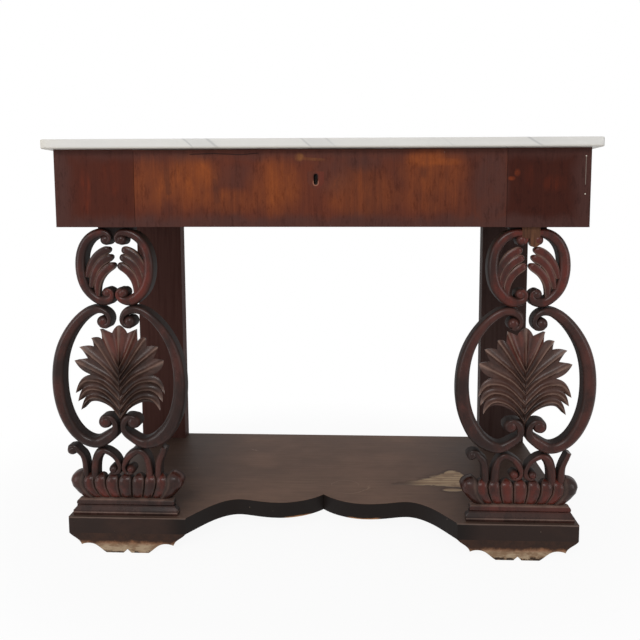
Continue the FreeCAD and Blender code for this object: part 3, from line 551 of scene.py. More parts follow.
# %% Scroll limbs
limb_rise, limb_crown, limb_least, crown_share = 0.0300, 0.0115, 0.62, 0.85
limb_steps, section_steps, curl_steps = 150, 19, 13


def seen_shift(axis, z):
    """How far a wall's back edge seems off its front edge: depth times the slope of the sight line."""
    slope_x = np.full_like(z, eye.x - axis) / (board_back - eye.y)
    return (limb_rise - limb_crown) * np.stack([slope_x, (eye.z - z) / (board_back - eye.y)], -1)


def volute(path, middle, turn, end_reach, end_width):
    """Path that goes on round an eye: the distance from its middle falls by an even share over the turn."""
    arm = path[-1, :2] - middle
    run = path[-1, :2] - path[-2, :2]
    way = np.sign(arm[0] * run[1] - arm[1] * run[0])
    share = np.linspace(0.0, 1.0, curl_steps)[1:]
    reach = np.linalg.norm(arm) * (end_reach / np.linalg.norm(arm)) ** share
    angle = np.arctan2(arm[1], arm[0]) + way * turn * share
    width = path[-1, 2] + (end_width - path[-1, 2]) * share
    curl = np.stack([middle[0] + reach * np.cos(angle), middle[1] + reach * np.sin(angle), width], -1)
    return np.concatenate([path, curl])


def limb_sheet(path, axis, sign, red, set_back=0.0):
    """Point at s along and p across: the path plus p half widths along its normal, with half an ellipse in
    front and straight walls; half of the walls' seen shift is taken off the measured place and width."""
    line = spline(path, limb_steps)
    normal = normals(line[:, :2])
    p = np.sin(np.linspace(-0.5, 0.5, section_steps) * math.pi)
    shift = seen_shift(axis, line[:, 1]) * (sign, 1)
    half = line[:, 2:] / 2
    half = np.maximum(half - np.abs(np.sum(normal * shift, axis=1, keepdims=True)) / 2, half * limb_least)
    crown = np.minimum(limb_crown, half * crown_share)
    round_front = np.sqrt(np.clip(1 - p ** 2, 0, 1))
    rise = limb_rise - set_back - crown * (1 - round_front)
    wide = (line[:, :2] - shift / 2)[:, None, :] + normal[:, None, :] * (half * p)[..., None]
    front = np.stack([axis + sign * wide[..., 0], board_back - rise, wide[..., 1]], -1)
    back = np.stack([front[..., 0], np.full_like(rise, board_back), front[..., 2]], -1)
    return front, back, round_front ** 2 * np.ones_like(rise), red, 0.0


print("walls seem to stand off by", seen_shift(support_axis["left"], np.array(0.4)).round(4), "m")

# %% [markdown]
# ## Eyes of the scrolls
# The end of each limb rolls round a ball, the eye of the scroll. A ball made from circles would have a pole
# in the middle of its front. A square grid that is pressed into a disc, with a domed front, has none.

# %% Eyes of the scrolls
eye_rise, eye_dome, eye_slack, eye_steps = 0.0320, 0.0125, 0.0018, 17


def eye_sheet(place, radius, axis, sign, red, set_back=0.0):
    """Square u, v turned into a disc, x = u root(1 - v squared / 2) and the like, with a domed front."""
    u, v = np.meshgrid(np.linspace(-1, 1, eye_steps), np.linspace(-1, 1, eye_steps))
    across, up = u * np.sqrt(1 - v ** 2 / 2), v * np.sqrt(1 - u ** 2 / 2)
    dome = np.sqrt(np.clip(1 - across ** 2 - up ** 2, 0, 1))
    shift = seen_shift(axis, np.array(place[1]))
    x = axis - shift[0] / 2 + sign * (place[0] + across * (radius - eye_slack))
    z = place[1] - shift[1] / 2 + up * (radius - eye_slack)
    front = np.stack([x, board_back - eye_rise + set_back + eye_dome * (1 - dome), z], -1)
    back = np.stack([x, np.full_like(x, board_back), z], -1)
    return front, back, dome ** 2, red, 0.0


def eye_at(share, size):
    """Middle of an eye: shares of a scroll's half width and height as a place in metres."""
    return np.array((share[0] * size[0], size[1] + share[1] * size[2]))


print("an eye stands", eye_rise, "m in front of the carving's back")

# %% [markdown]
# ## Scroll paths
# A path is a short table for the left half of a scroll: across and up, as shares of its half width and
# height, and the limb's width as a share of the widest. Shares keep the curve when the size is changed.

# %% Scroll paths
heart_table = [(-0.19, 0.948, 0.60), (-0.39, 0.943, 0.72), (-0.615, 0.873, 0.84), (-0.768, 0.75, 0.93),
               (-0.836, 0.59, 1.00), (-0.826, 0.41, 1.00), (-0.735, 0.25, 0.96), (-0.56, 0.132, 0.90),
               (-0.365, 0.07, 0.83), (-0.17, 0.08, 0.74)]
oval_table = [(-0.18, 0.962, 0.54), (-0.305, 0.969, 0.61), (-0.48, 0.928, 0.68), (-0.663, 0.834, 0.77),
              (-0.812, 0.70, 0.87), (-0.887, 0.51, 0.95), (-0.858, 0.32, 0.97), (-0.737, 0.168, 0.97),
              (-0.545, 0.070, 0.94), (-0.34, 0.044, 0.88), (-0.175, 0.084, 0.77), (-0.066, 0.137, 0.62)]
arch_table = [(-0.50, -0.16, 1.00), (-0.50, 0.26, 0.98), (-0.485, 0.51, 0.94), (-0.435, 0.745, 0.88),
              (-0.34, 0.885, 0.82), (-0.22, 0.83, 0.74), (-0.105, 0.66, 0.68), (-0.05, 0.47, 0.62)]
horn_table = [(-0.665, -0.16, 0.90), (-0.665, 0.26, 0.86), (-0.675, 0.52, 0.80), (-0.725, 0.77, 0.74),
              (-0.81, 0.93, 0.68)]
stump_table = [(-0.665, -0.16, 0.90), (-0.665, 0.30, 0.86), (-0.685, 0.58, 0.80), (-0.745, 0.84, 0.74),
               (-0.785, 1.02, 0.68)]

# Half width, foot, height and limb width of each scroll, and how far back the gallery stands, in metres
heart_size, oval_size = (0.091, 0.5665, 0.1695, 0.030), (0.1555, 0.240, 0.328, 0.036)
gallery_size, gallery_back = (0.126, 0.170, 0.072, 0.025), 0.0065

# Place of an eye as shares, turn of the spiral round it, and the spiral's last reach and width
heart_eyes = [((-0.19, 0.172), 3.0, 0.0070, 0.010), ((-0.19, 0.862), 2.6, 0.0075, 0.010)]
oval_eyes = [((-0.208, 0.194), 3.4, 0.0065, 0.012), ((-0.195, 0.888), 3.5, 0.0085, 0.011)]
arch_eye, horn_eye = ((-0.16, 0.29), 3.0, 0.0065, 0.009), ((-0.905, 0.90), 2.4, 0.006, 0.012)


def scaled(table, half_width, low, height, width):
    """Shares of a half width, a height and a limb's width as places and widths in metres."""
    return np.array(table) * (half_width, height, width) + (0.0, low, 0.0)


print("the oval runs through", scaled(oval_table, *oval_size)[5].round(4))

# %% [markdown]
# ## Hearts, ovals and galleries
# A heart or oval is a limb and its mirror image, with an eye at each end. The gallery has two arches that
# roll inwards and a horn on each side; the ball of the right horn broke off long ago, so a stump is left
# there. A flat board joins the heart to the frieze.

# %% Hearts, ovals and galleries
eye_red = 0.9
heart_balls, oval_balls, arch_ball, horn_ball = (0.0140, 0.0138), (0.0174, 0.0152), 0.0120, 0.0136
cap_half, cap_low, cap_high, cap_deep = 0.040, 0.716, 0.740, 0.018


def double_scroll(table, size, eyes, radii, axis, red):
    """Both halves of a scroll with an eye at each end: turns, end reaches and widths come with the eyes."""
    sheets = []
    for sign in (1, -1):
        path = scaled(table, *size)
        for share, *curl in eyes:
            path = volute(path, eye_at(share, size), *curl)[::-1]
        sheets.append(limb_sheet(path, axis, sign, red))
        sheets += [eye_sheet(eye_at(share, size), radius, axis, sign, eye_red)
                   for (share, *curl), radius in zip(eyes, radii)]
    return sheets


def single_scroll(table, curled, radius, axis, sign, limb_red, ball_red):
    """One limb of the gallery and the eye that it rolls round."""
    share, *curl = curled
    middle = eye_at(share, gallery_size)
    path = volute(scaled(table, *gallery_size), middle, *curl)
    return [limb_sheet(path, axis, sign, limb_red, gallery_back),
            eye_sheet(middle, radius, axis, sign, ball_red, gallery_back)]


def gallery(axis):
    """Two arches that roll in, a horn with a ball on the left, and a stump where the right ball broke off."""
    sheets = []
    for sign in (1, -1):
        sheets += single_scroll(arch_table, arch_eye, arch_ball, axis, sign, 0.5, eye_red)
    sheets += single_scroll(horn_table, horn_eye, horn_ball, axis, 1, 0.2, 0.3)
    return sheets + [limb_sheet(scaled(stump_table, *gallery_size), axis, -1, 0.3, gallery_back)]


def cap_sheet(axis):
    """Flat board between the heart and the frieze: x from side to side, z from low to high."""
    x, z = np.meshgrid(np.linspace(-cap_half, cap_half, 9), np.linspace(cap_low, cap_high, 5))
    front = np.stack([axis + x, np.full_like(x, board_back - cap_deep), z], -1)
    # All marks 0: the board takes the darkest painted shade of the carved finish.
    return front, front + (0.0, cap_deep, 0.0), 0.0, 0.0, 0.0


for side, axis in support_axis.items():
    heart = double_scroll(heart_table, heart_size, heart_eyes, heart_balls, axis, 1.0)
    carve("heart_scroll_" + side, heart + [cap_sheet(axis)], "carving", "upper_scroll_" + side)
    oval = double_scroll(oval_table, oval_size, oval_eyes, oval_balls, axis, 0.35)
    carve("oval_carving_" + side, oval, "carving", "oval_scroll_" + side)
    carve("gallery_carving_" + side, gallery(axis), "carving", "scroll_gallery_" + side)

# %% [markdown]
# ## Palmettes
# Fifteen leaves spread from one stem. Ribs and valleys take turns from the middle leaf down to the stem, each
# a line from the middle plane to a tip or a notch. Between a rib and a valley the wood is cupped: it drops
# steeply beside the rib and then flattens out. The back is cut away under the edges, so the tips look thin.
# Separate leaves would have to be joined along each valley; one sheet over all the lines needs no joints.

# %% Lines of the palmette
leaf_lines = [
    [(0.000, 0.612), (0.000, 0.752), (0.000, 0.884), (0.000, 1.000)],
    [(0.000, 0.600), (0.065, 0.713), (0.121, 0.822), (0.172, 0.915)],
    [(0.000, 0.574), (0.142, 0.690), (0.279, 0.822), (0.405, 0.963)],
    [(0.000, 0.519), (0.126, 0.612), (0.264, 0.729), (0.405, 0.840)],
    [(0.000, 0.481), (0.162, 0.581), (0.377, 0.729), (0.611, 0.872)],
    [(0.000, 0.450), (0.163, 0.550), (0.370, 0.667), (0.600, 0.775)],
    [(0.000, 0.411), (0.181, 0.512), (0.511, 0.647), (0.890, 0.780)],
    [(0.000, 0.376), (0.199, 0.488), (0.460, 0.585), (0.750, 0.660)],
    [(0.000, 0.345), (0.217, 0.450), (0.566, 0.544), (1.010, 0.645)],
    [(0.000, 0.295), (0.219, 0.395), (0.462, 0.465), (0.689, 0.492)],
    [(0.000, 0.248), (0.185, 0.337), (0.446, 0.428), (0.691, 0.440), (0.893, 0.403), (1.012, 0.314)],
    [(0.000, 0.202), (0.186, 0.295), (0.412, 0.368), (0.639, 0.394), (0.836, 0.372)],
    [(0.000, 0.155), (0.169, 0.248), (0.395, 0.332), (0.622, 0.353), (0.833, 0.314), (0.962, 0.229)],
    [(0.000, 0.112), (0.170, 0.205), (0.379, 0.275), (0.597, 0.306), (0.790, 0.279)],
    [(0.000, 0.070), (0.180, 0.174), (0.380, 0.244), (0.581, 0.267), (0.774, 0.229), (0.899, 0.143)],
    [(0.000, 0.000), (0.111, 0.105), (0.311, 0.186), (0.520, 0.221), (0.731, 0.208), (0.872, 0.151)]]
edge_swell = {0: (0.02, 0.006), 3: (0.0, 0.018), 5: (0.0, 0.012), 8: (0.055, -0.018), 9: (0.06, 0.039),
              11: (0.035, 0.012), 13: (0.026, 0.012)}
palmette_half, palmette_low, palmette_high = 0.100, 0.2953, 0.521
rib_rise, valley_rise = (0.0295, 0.0235), (0.0225, 0.0165)
ridge_rise, ridge_wide, cup_power = 0.0011, 0.15, 2.2
undercut_y, undercut_shares, undercut_lift = -0.200, (0.96, 0.985), 0.0062
along_count, across_count = 44, 9
red_halves = 3
print("ribs and valleys", len(leaf_lines))

# %% Palmettes
def mirrored(grid, sign=1):
    """The grid's lines in turned order, times a sign, and then the grid itself, with its first line once."""
    return np.concatenate([sign * grid[:0:-1], grid])


def palmette_sheet(axis):
    """Point at s along and t across a half leaf: the straight mix of its two lines, swelled at the end by
    s to the fourth times t(1-t); the height falls from rib to valley as one less a power of what is left."""
    lines = np.stack([spline(line, along_count) for line in leaf_lines])
    s = np.linspace(0.0, 1.0, along_count)
    t = np.linspace(0.0, 1.0, across_count)[:-1]
    halves = np.arange(len(lines) - 1)
    swell = np.array([edge_swell.get(half, (0.0, 0.0)) for half in halves])
    mix = t[None, :, None, None]
    flat = lines[:-1, None] * (1 - mix) + lines[1:, None] * mix
    flat = flat + (swell[:, None, None, :] * (4 * t * (1 - t))[None, :, None, None]
                   * s[None, None, :, None] ** 4)
    from_rib = np.where(halves[:, None] % 2 == 0, t[None, :], 1 - t[None, :])
    rib = rib_rise[0] + (rib_rise[1] - rib_rise[0]) * s
    valley = valley_rise[0] + (valley_rise[1] - valley_rise[0]) * s
    drop = 1 - (1 - from_rib) ** cup_power
    fade = np.minimum(1, 0.35 + s / 0.06)
    sharp = bell(from_rib, 0.0, ridge_wide)[..., None] * fade
    rise = rib + (valley - rib) * drop[..., None] * fade + ridge_rise * sharp
    worn = (0.35 + 0.65 * np.sin(from_rib * math.pi))[..., None] * np.ones_like(s)
    red = np.where(halves < red_halves, 1.0, 0.12)[:, None, None] * np.ones((1, len(t), 1))
    red = red * np.minimum(1, s / 0.45)
    flat = np.concatenate([flat.reshape(-1, along_count, 2), lines[-1:]])
    rise = np.concatenate([rise.reshape(-1, along_count), valley[None]])
    last_line = np.zeros((1, along_count))
    worn, red, sharp = (np.concatenate([grid.reshape(-1, along_count), last_line])
                        for grid in (worn, red, sharp))
    x = flat[..., 0] * palmette_half
    z = palmette_low + flat[..., 1] * (palmette_high - palmette_low)
    front = np.stack([axis + mirrored(x, -1), board_back - mirrored(rise), mirrored(z)], -1)
    back_x = axis + mirrored(x * undercut_shares[0], -1)
    back_z = mirrored(z * undercut_shares[1] + undercut_lift)
    back = np.stack([back_x, np.full_like(back_x, undercut_y), back_z], -1)
    # The last mark is a painted highlight: pale along each rib, and faintly over the whole leaf.
    return front, back, mirrored(worn), mirrored(red), mirrored(sharp + 0.16 * worn)


for side, axis in support_axis.items():
    carve("palmette_carving_" + side, [palmette_sheet(axis)], "carving", "palmette_" + side)

# %% [markdown]
# ## Leaf fingers in the hearts
# Three rounded leaves grow out of each side of the heart. Each is a line that widens, with a half-round front
# and a tip that closes like a fingertip. A fine rim runs along both edges, where the gouge left a border.
# A curve with a round bevel would be quicker, but it has no rim, so the section is written as a formula.

# %% Leaf fingers
finger_lines = [
    [(-0.72, 0.37), (-0.655, 0.485), (-0.53, 0.605), (-0.365, 0.688), (-0.20, 0.728), (-0.135, 0.742)],
    [(-0.63, 0.235), (-0.58, 0.365), (-0.485, 0.487), (-0.335, 0.575), (-0.155, 0.628), (-0.085, 0.645)],
    [(-0.47, 0.12), (-0.475, 0.26), (-0.395, 0.375), (-0.255, 0.463), (-0.10, 0.52), (-0.030, 0.542)]]
finger_width, finger_rise, finger_crown, finger_rim = 0.0192, 0.0272, 0.0075, 0.0009
finger_steps, finger_across, finger_inset = 48, 17, 0.002
rim_place, rim_wide = 0.84, 0.09


def finger_sheet(axis, line, sign):
    """Point at s along and p across: the line plus p half widths along its normal, with a full, round front;
    the width grows from the root and closes at the tip as the root of one less a square."""
    heart_half, heart_low, heart_height = heart_size[:3]
    path = spline(np.array(line) * (sign * heart_half, heart_height) + (axis, heart_low), finger_steps)
    normal = normals(path)
    s = np.linspace(0.0, 1.0, finger_steps)
    p = np.linspace(-1.0, 1.0, finger_across)
    swell = np.interp(s, [0.0, 0.25, 0.55, 0.8, 1.0], [0.52, 0.82, 0.97, 1.02, 0.95])
    tip = closing(s, 0.86)
    half = finger_width / 2 * swell * np.maximum(tip, 0.02)
    round_front = np.sqrt(1 - np.abs(p) ** 2.8)
    rim = bell(np.abs(p), rim_place, rim_wide)
    rise = finger_rise - finger_crown * (1 - tip[:, None] * round_front) + finger_rim * rim * tip[:, None]
    wide = path[:, None, :] + normal[:, None, :] * (half[:, None] * p)[..., None]
    thin = path[:, None, :] + normal[:, None, :] * (half[:, None] * p * 0.85)[..., None]
    front = np.stack([wide[..., 0], board_back - rise, wide[..., 1]], -1)
    back = np.stack([thin[..., 0], np.full_like(rise, undercut_y + finger_inset), thin[..., 1]], -1)
    # The last mark is a painted highlight along the rims.
    return front, back, (0.25 + 0.75 * round_front ** 2) * np.ones_like(rise), 0.7, rim * tip[:, None]


for side, axis in support_axis.items():
    sheets = [finger_sheet(axis, line, sign) for line in finger_lines for sign in (1, -1)]
    carve("heart_leaves_" + side, sheets, "carving")

# %% [markdown]
# ## Gadroon lobes
# Nine lobes swell out of each basket. The middle one stands upright and the others lean outwards; the end
# lobes turn round the corner and rise higher. Each lobe is a pillow with a rounded top and a fine raised rim,
# so it is worked out as a share of the bowl's width and front, which a short table gives for each height.

# %% Bowl and lobes
lobe_edges = np.array([-0.765, -0.56, -0.352, -0.122, 0.122, 0.352, 0.56, 0.765])
basket_half, basket_low, basket_high, basket_height = 0.128, 0.1192, 0.1645, 0.051
lobe_high, end_high = 0.1765, 0.1800
lobe_swell, lobe_rim, lobe_dip, lobe_sunk, lobe_back = 0.0072, 0.0016, 0.005, 0.0075, 0.008
level_heights = np.array([0.0, 0.25, 0.55, 0.80, 1.0, 1.16])
level_widths = np.array([0.80, 0.89, 0.975, 1.0, 0.985, 0.96])
level_fronts = np.array([0.70, 0.86, 0.98, 1.0, 0.92, 0.80]) * 0.030


def bowl_at(level):
    """Half width and front of the bowl at a level, read from the tables by straight lines."""
    width = basket_half * np.interp(level, level_heights, level_widths)
    return width, np.interp(level, level_heights, level_fronts)


def lobe_sheet(axis, low_edge, high_edge):
    """Point at q up and p across a lobe: the bowl's width at that height times the share between the lobe's
    edges, pulled in at the top as the root of one less a square, and swelled forward by a half circle."""
    q = np.linspace(0.0, 1.0, 48)
    p = np.sin(np.linspace(-0.5, 0.5, 27) * math.pi)
    width, bowl = bowl_at(q * (lobe_high - basket_low) / basket_height)
    top = closing(q, 0.74)
    foot = np.sqrt(np.clip(1 - (np.clip(0.10 - q, 0, None) / 0.13) ** 2, 0, 1))
    middle, half = (low_edge + high_edge) / 2, (high_edge - low_edge) / 2 * 0.985
    across = middle + half * p[None, :] * np.maximum(top, 0.03)[:, None]
    round_front = np.sqrt(1 - p ** 2)
    rim = bell(np.abs(p), rim_place, rim_wide)
    swell = (lobe_swell * round_front + lobe_rim * rim)[None, :] * (top * foot)[:, None]
    depth = bowl[:, None] - lobe_sunk + swell - lobe_dip * (1 - top)[:, None]
    x = axis + across * width[:, None]
    z = np.broadcast_to((basket_low + q * (lobe_high - basket_low))[:, None], x.shape)
    front = np.stack([x, board_back - depth, z], -1)
    back = np.stack([x, np.full_like(x, board_back - lobe_back), z], -1)
    proud = (round_front ** 2 + 0.2 * rim)[None, :] * np.ones_like(x)
    # The last mark is a painted highlight along the rims.
    return front, back, proud, 0.95 - 0.85 * rim, 0.25 * rim


print("bowl at its foot", [round(float(v), 4) for v in bowl_at(0.0)])

# %% End lobes and core
end_start, end_reach, end_middle, end_power = 0.752, 0.270, 0.86, 0.62
end_rim, end_back = 0.0004, 0.0005
core_sunk, core_least, core_back = 0.0085, 0.0012, 0.0008


def end_lobe_sheet(axis, sign):
    """Point at q up and angle p round the corner: a quarter of a full oval from the front to the back, which
    shrinks towards the top as the root of one less a square."""
    q = np.linspace(0.0, 1.0, 40)
    p = np.linspace(-0.12, 1.0, 23)
    width, bowl = bowl_at(q * (end_high - basket_low) / basket_height)
    top = closing(q, 0.72)
    angle = np.clip(p, 0, 1) * math.pi / 2
    reach = end_reach * np.sin(angle) ** end_power + np.minimum(p, 0) * 0.25
    deep = np.cos(angle) ** end_power
    across = end_middle + (end_start + reach[None, :] - end_middle) * np.maximum(top, 0.04)[:, None]
    rim = bell(p, 0.02, 0.035)
    depth = (bowl[:, None] - end_rim) * deep[None, :] * (0.45 + 0.55 * top)[:, None] + end_rim * rim[None, :]
    depth = depth * np.where(p < 0, 1 + p * 1.6, 1.0)[None, :]
    x = axis + sign * across * width[:, None]
    z = np.broadcast_to((basket_low + q * (end_high - basket_low))[:, None], x.shape)
    front = np.stack([x, board_back - depth, z], -1)
    inner = axis + sign * (end_middle + (across - end_middle) * 0.5) * width[:, None]
    back = np.stack([inner, np.full_like(x, board_back - end_back), z], -1)
    # The last mark is a painted highlight along the rim.
    return front, back, np.sin(np.clip(p, 0, 1) * math.pi)[None, :] * np.ones_like(x), 0.3, 0.3 * rim


def core_sheet(axis):
    """Bowl behind the lobes at q up and p across: the bowl's own width and front, set back a little, with its
    ends rounded as the root of one less the sixth power of p."""
    q, p = np.linspace(0.0, 1.0, 20), np.linspace(-1.0, 1.0, 41)
    width, bowl = bowl_at(q)
    depth = (bowl - core_sunk)[:, None] * np.sqrt(np.clip(1 - p ** 6, 0, 1))[None, :] + core_least
    x = axis + (width * 0.955)[:, None] * p[None, :]
    z = np.broadcast_to((basket_low + q * (basket_high - basket_low))[:, None], x.shape)
    front = np.stack([x, board_back - depth, z], -1)
    # All marks 0: the bowl between the lobes takes the darkest painted shade of the carved finish.
    return front, np.stack([x, np.full_like(x, board_back - core_back), z], -1), 0.0, 0.0, 0.0


for side, axis in basket_axis.items():
    sheets = [lobe_sheet(axis, a, b) for a, b in zip(lobe_edges, lobe_edges[1:])]
    sheets += [end_lobe_sheet(axis, -1), end_lobe_sheet(axis, 1), core_sheet(axis)]
    carve("gadroon_lobes_" + side, sheets, "carving", "gadroon_basket_" + side)

# %% [markdown]
# ## Carved wood
# The supports are carved mahogany under old, dark polish. It has worn back to red wood on what
# stands proud. The hollows and side walls are nearly black: old polish gathers there, and painted shade is
# added. Pieces worked out here carry marks on each vertex that say how proud and red it is and where painted
# highlights run along its ridges; the finish mixes its colours by those marks and breaks them with noise.
# The base mouldings are CAD nodes without marks, so depth and height stand in for them.

# %% Carved wood
def carved_wood(name, proud, red, ridge_highlight):
    """Dark polish, dull and darkened with painted shade in the hollows and on the side walls, with red wear
    on what is proud and pale painted highlights on the ridges: the last three are functions that give these
    shares on a finish."""
    wood = Finish(name, Specular_IOR_Level=0.22)
    high = proud(wood)
    streak = wood.noise(14.0, (3.0, 3.0, 0.5), detail=5.0, rough=0.6)
    patch = wood.noise(16.0, (1.0, 1.0, 0.7), (2.0, 5.0, 1.0), detail=5.0, rough=0.65)
    base = wood.mix(patch.step(0.35, 0.7), linear(35, 22, 18), linear(65, 41, 35))
    # Painted shade: where the proud mark is low, in the hollows and on the side walls, the colour goes nearly
    # black; old polish gathers there too.
    base = wood.mix(high.step(0.30, 0.0) * 0.75, base, linear(26, 17, 15))
    red_wear = high * red(wood) * (0.22 + patch.step(0.40, 0.62) * 0.78)
    base = wood.mix(red_wear * 0.85, base, linear(96, 35, 25))
    # Painted highlight: pale grey along ridges and rims, where light catches them.
    base = wood.mix(ridge_highlight(wood) * (0.35 + patch.step(0.3, 0.7) * 0.65) * 0.85, base, linear(158, 130, 117))
    base = wood.mix(wood.specks(60.0, 0.06) * 0.2, base, linear(150, 120, 100))
    base = wood.shade(streak.step(0.4, 0.7) * 0.3, base, linear(195, 178, 172))
    wood.finish(base, 0.62 - high.step(0.0, 0.7) * 0.40 + patch * 0.10, streak * 0.5 + patch * 0.5, 0.0004)
    return wood


def moulding_highlight(wood):
    """Painted highlights: pale lines along the moulding's top edge and along the step under its bead."""
    top_line = wood.z.step(0.1160, 0.1185)
    step_line = wood.z.step(0.0920, 0.0905) * wood.z.step(0.0880, 0.0895)
    return top_line.most(step_line) * 0.6


crest_y, shoulder_y = -0.2165, -0.2085
# Depth stands in for the proud mark, so the recessed parts of the moulding get the painted shade.
moulding = carved_wood("carved_wood", lambda wood: wood.y.step(shoulder_y, crest_y),
                       lambda wood: wood.z.step(0.100, 0.106) * wood.noise(5.0).step(0.42, 0.60) * 0.6,
                       moulding_highlight)
moulding.cover(*both("base_moulding"), "support_dowels")
leaves = carved_wood("carved_leaves", lambda wood: wood.mark("proud"), lambda wood: wood.mark("red"),
                     lambda wood: wood.mark("ridge_highlight"))
leaves.cover(*both("palmette_carving"), *both("heart_leaves"), *both("heart_scroll"), *both("oval_carving"),
             *both("gallery_carving"), *both("gadroon_lobes"))

# %% [markdown]
# ## Shelf
# The shelf's top is dusty and dull, with grain along its length, darker towards both ends. Near the right
# basket a piece of the veneer has gone and bare wood shows, and the middle has a few raised creases. All of
# this lies in plan, so the masks are lines and ovals on x and y, with borders that noise makes ragged.

# %% Shelf top
board = Finish("shelf_veneer", Specular_IOR_Level=0.14)
grain = board.noise(8.0, (0.8, 22.0, 6.0), detail=6.0, rough=0.6)
dust = board.noise(7.0, (0.7, 1.2, 1.0), (1.0, 3.0, 0.0), detail=5.0, rough=0.6)
ragged = board.noise(30.0, (0.6, 1.6, 1.0), (4.0, 1.0, 0.0), detail=5.0, rough=0.65) - 0.5
top_colour = board.mix(dust.step(0.35, 0.68), linear(97, 74, 62), linear(119, 93, 79))
top_colour = board.mix((board.x.size() + ragged * 0.1).step(0.18, 0.42) * 0.8, top_colour, linear(61, 49, 44))
streak = grain.step(0.46, 0.64) * (board.y + ragged * 0.05).step(0.04, -0.05)
streak = streak * board.x.size().step(0.34, 0.20)
top_colour = board.mix(streak * 0.5, top_colour, linear(138, 112, 94))
top_colour = board.shade(grain.step(0.4, 0.7) * 0.35, top_colour, linear(200, 185, 175))
print("shelf top has", len(board.tree.nodes), "nodes so far")

# %% Lost veneer and creases
def ragged_oval(x, y, wide, deep):
    """Squared distance from a place in plan, in its own radii, shaken by noise."""
    across, along = (board.x - x) / wide, (board.y - y) / deep
    return across * across + along * along + ragged * 1.6


def lost_veneer(grow):
    """Ragged patch beside the right basket: a streak between lines with a flap on it, and a small spot."""
    upper_line = board.beyond(0.190 - grow, -0.050, 0.300, -0.002 + grow, ragged * 0.050)
    lower_line = board.beyond(0.361, -0.062 - grow, 0.190 - grow, -0.056, ragged * 0.040)
    right_line = board.beyond(0.330, 0.032 + grow, 0.392 + grow, -0.040, ragged * 0.060)
    flap = ragged_oval(0.338, 0.004, 0.030 + grow, 0.020 + grow).step(1.1, 0.9)
    spot = ragged_oval(0.318, -0.079, 0.024 + grow, 0.007 + grow).step(1.2, 0.7)
    return (upper_line.most(flap) * lower_line * right_line).most(spot * 0.8)


gone = lost_veneer(0.0)
bare_wood = board.mix(grain.step(0.35, 0.65), linear(150, 122, 96), linear(188, 164, 134))
bare_wood = board.mix(ragged.step(0.02, 0.14) * 0.6, bare_wood, linear(126, 98, 76))
top_colour = board.mix(lost_veneer(0.009) * 0.55, top_colour, linear(66, 47, 38))
top_colour = board.mix(gone * board.x.step(0.19, 0.27), top_colour, bare_wood)
bow_x, bow_y = board.x - 0.052, board.y + 0.062
bow = (bow_x * bow_x + bow_y * bow_y * 2.2) ** 0.5
outer_bow = (bow + ragged * 0.030 - 0.062).size().step(0.0030, 0.0)
inner_bow = (bow + ragged * 0.025 - 0.034).size().step(0.0026, 0.0)
nick = (board.y + board.x * 0.35 + ragged * 0.05 - 0.058).size().step(0.003, 0.0)
crease = most_of(outer_bow * board.y.step(-0.055, -0.075) * board.x.step(0.02, 0.08),
                 inner_bow * board.y.step(-0.072, -0.056) * 0.6,
                 nick * (board.x + 0.215).size().step(0.016, 0.008))
top_colour = board.mix(crease * 0.5, top_colour, linear(150, 124, 104))
print("shelf top has", len(board.tree.nodes), "nodes")

# %% [markdown]
# ## Shelf edge
# The edge keeps the dark polish, and its curved middle is darkened further with painted shade. Its lower
# rim is chipped in two places, and the blocks' upper front rim is worn to a light line. Height tells the edge
# from the top, so one step on z joins the two colours.

# %% Shelf edge
upper = board.z.step(0.0828, 0.0834)
edge_colour = board.mix(dust.step(0.4, 0.7), linear(44, 32, 28), linear(60, 42, 35))
# Painted shade: the curved middle of the edge is darkened nearly to black.
edge_colour = board.mix(board.x.size().step(0.37, 0.31) * 0.9, edge_colour, linear(20, 15, 13))
low_rim = (board.z + ragged * 0.006).step(0.0490, 0.0462)
left_chip = (board.x + 0.060).size().step(0.036, 0.020)
right_chip = (board.x - 0.098).size().step(0.044, 0.026)
edge_colour = board.mix(low_rim * left_chip.most(right_chip) * 0.8, edge_colour, linear(186, 134, 92))
worn_edge = (board.z + ragged * 0.004).step(0.0795, 0.0815) * board.y.step(-0.222, -0.2245)
edge_colour = board.mix(worn_edge * 0.55, edge_colour, linear(128, 108, 98))
colour = board.mix(upper, edge_colour, top_colour)
colour = board.mix(board.specks(40.0, 0.06) * 0.35, colour, linear(170, 150, 130))
board.finish(colour, 0.46 + dust * 0.15, grain * 0.5 + dust * 0.6 - gone * 0.8 + crease * 0.8, 0.0005)
board.cover("shelf")

# %% [markdown]
# ## Feet
# The feet are worn to bare, mottled wood where they stand, with black chips at the very bottom. Height tells
# the zones apart, so each mask is a step on z that noise has shaken.

# %% Feet
foot = Finish("foot_wood", Specular_IOR_Level=0.12)
wear = foot.noise(34.0, (1.0, 1.0, 1.0), (2.0, 1.0, 0.0), detail=6.0, rough=0.7)
smear = foot.noise(70.0, (0.6, 0.6, 1.5), detail=5.0, rough=0.6)
bare = (foot.z + (wear - 0.5) * 0.030).step(0.030, 0.019)
colour = foot.mix(wear.step(0.35, 0.7), linear(48, 35, 30), linear(64, 44, 35))
tan = foot.mix(smear.step(0.40, 0.65), linear(138, 111, 87), linear(179, 157, 131))
tan = foot.mix((foot.z + (smear - 0.5) * 0.012).step(0.016, 0.027) * 0.75, tan, linear(140, 88, 58))
colour = foot.mix(bare, colour, tan)
chips = (foot.z + (smear - 0.5) * 0.022).step(0.0075, 0.0035) * wear.step(0.44, 0.52)
colour = foot.mix(bare * chips * 0.9, colour, linear(34, 26, 23))
colour = foot.mix(bare * smear.step(0.60, 0.72) * 0.5, colour, linear(96, 70, 52))
foot.finish(colour, 0.5 + bare * 0.3, wear * 0.6 + smear * 0.4 - chips * 0.6, 0.0008)
foot.cover(*both("front_foot"), *both("rear_foot"))

# %% [markdown]
# ## Rear pilasters
# The two boards at the back are stained nearly black and hardly catch any light. The left one is a little
# redder than the right one. The grain runs upwards, as in the frieze. One finish serves both, with steps on x
# between them, so there is no second set of nodes to keep alike.

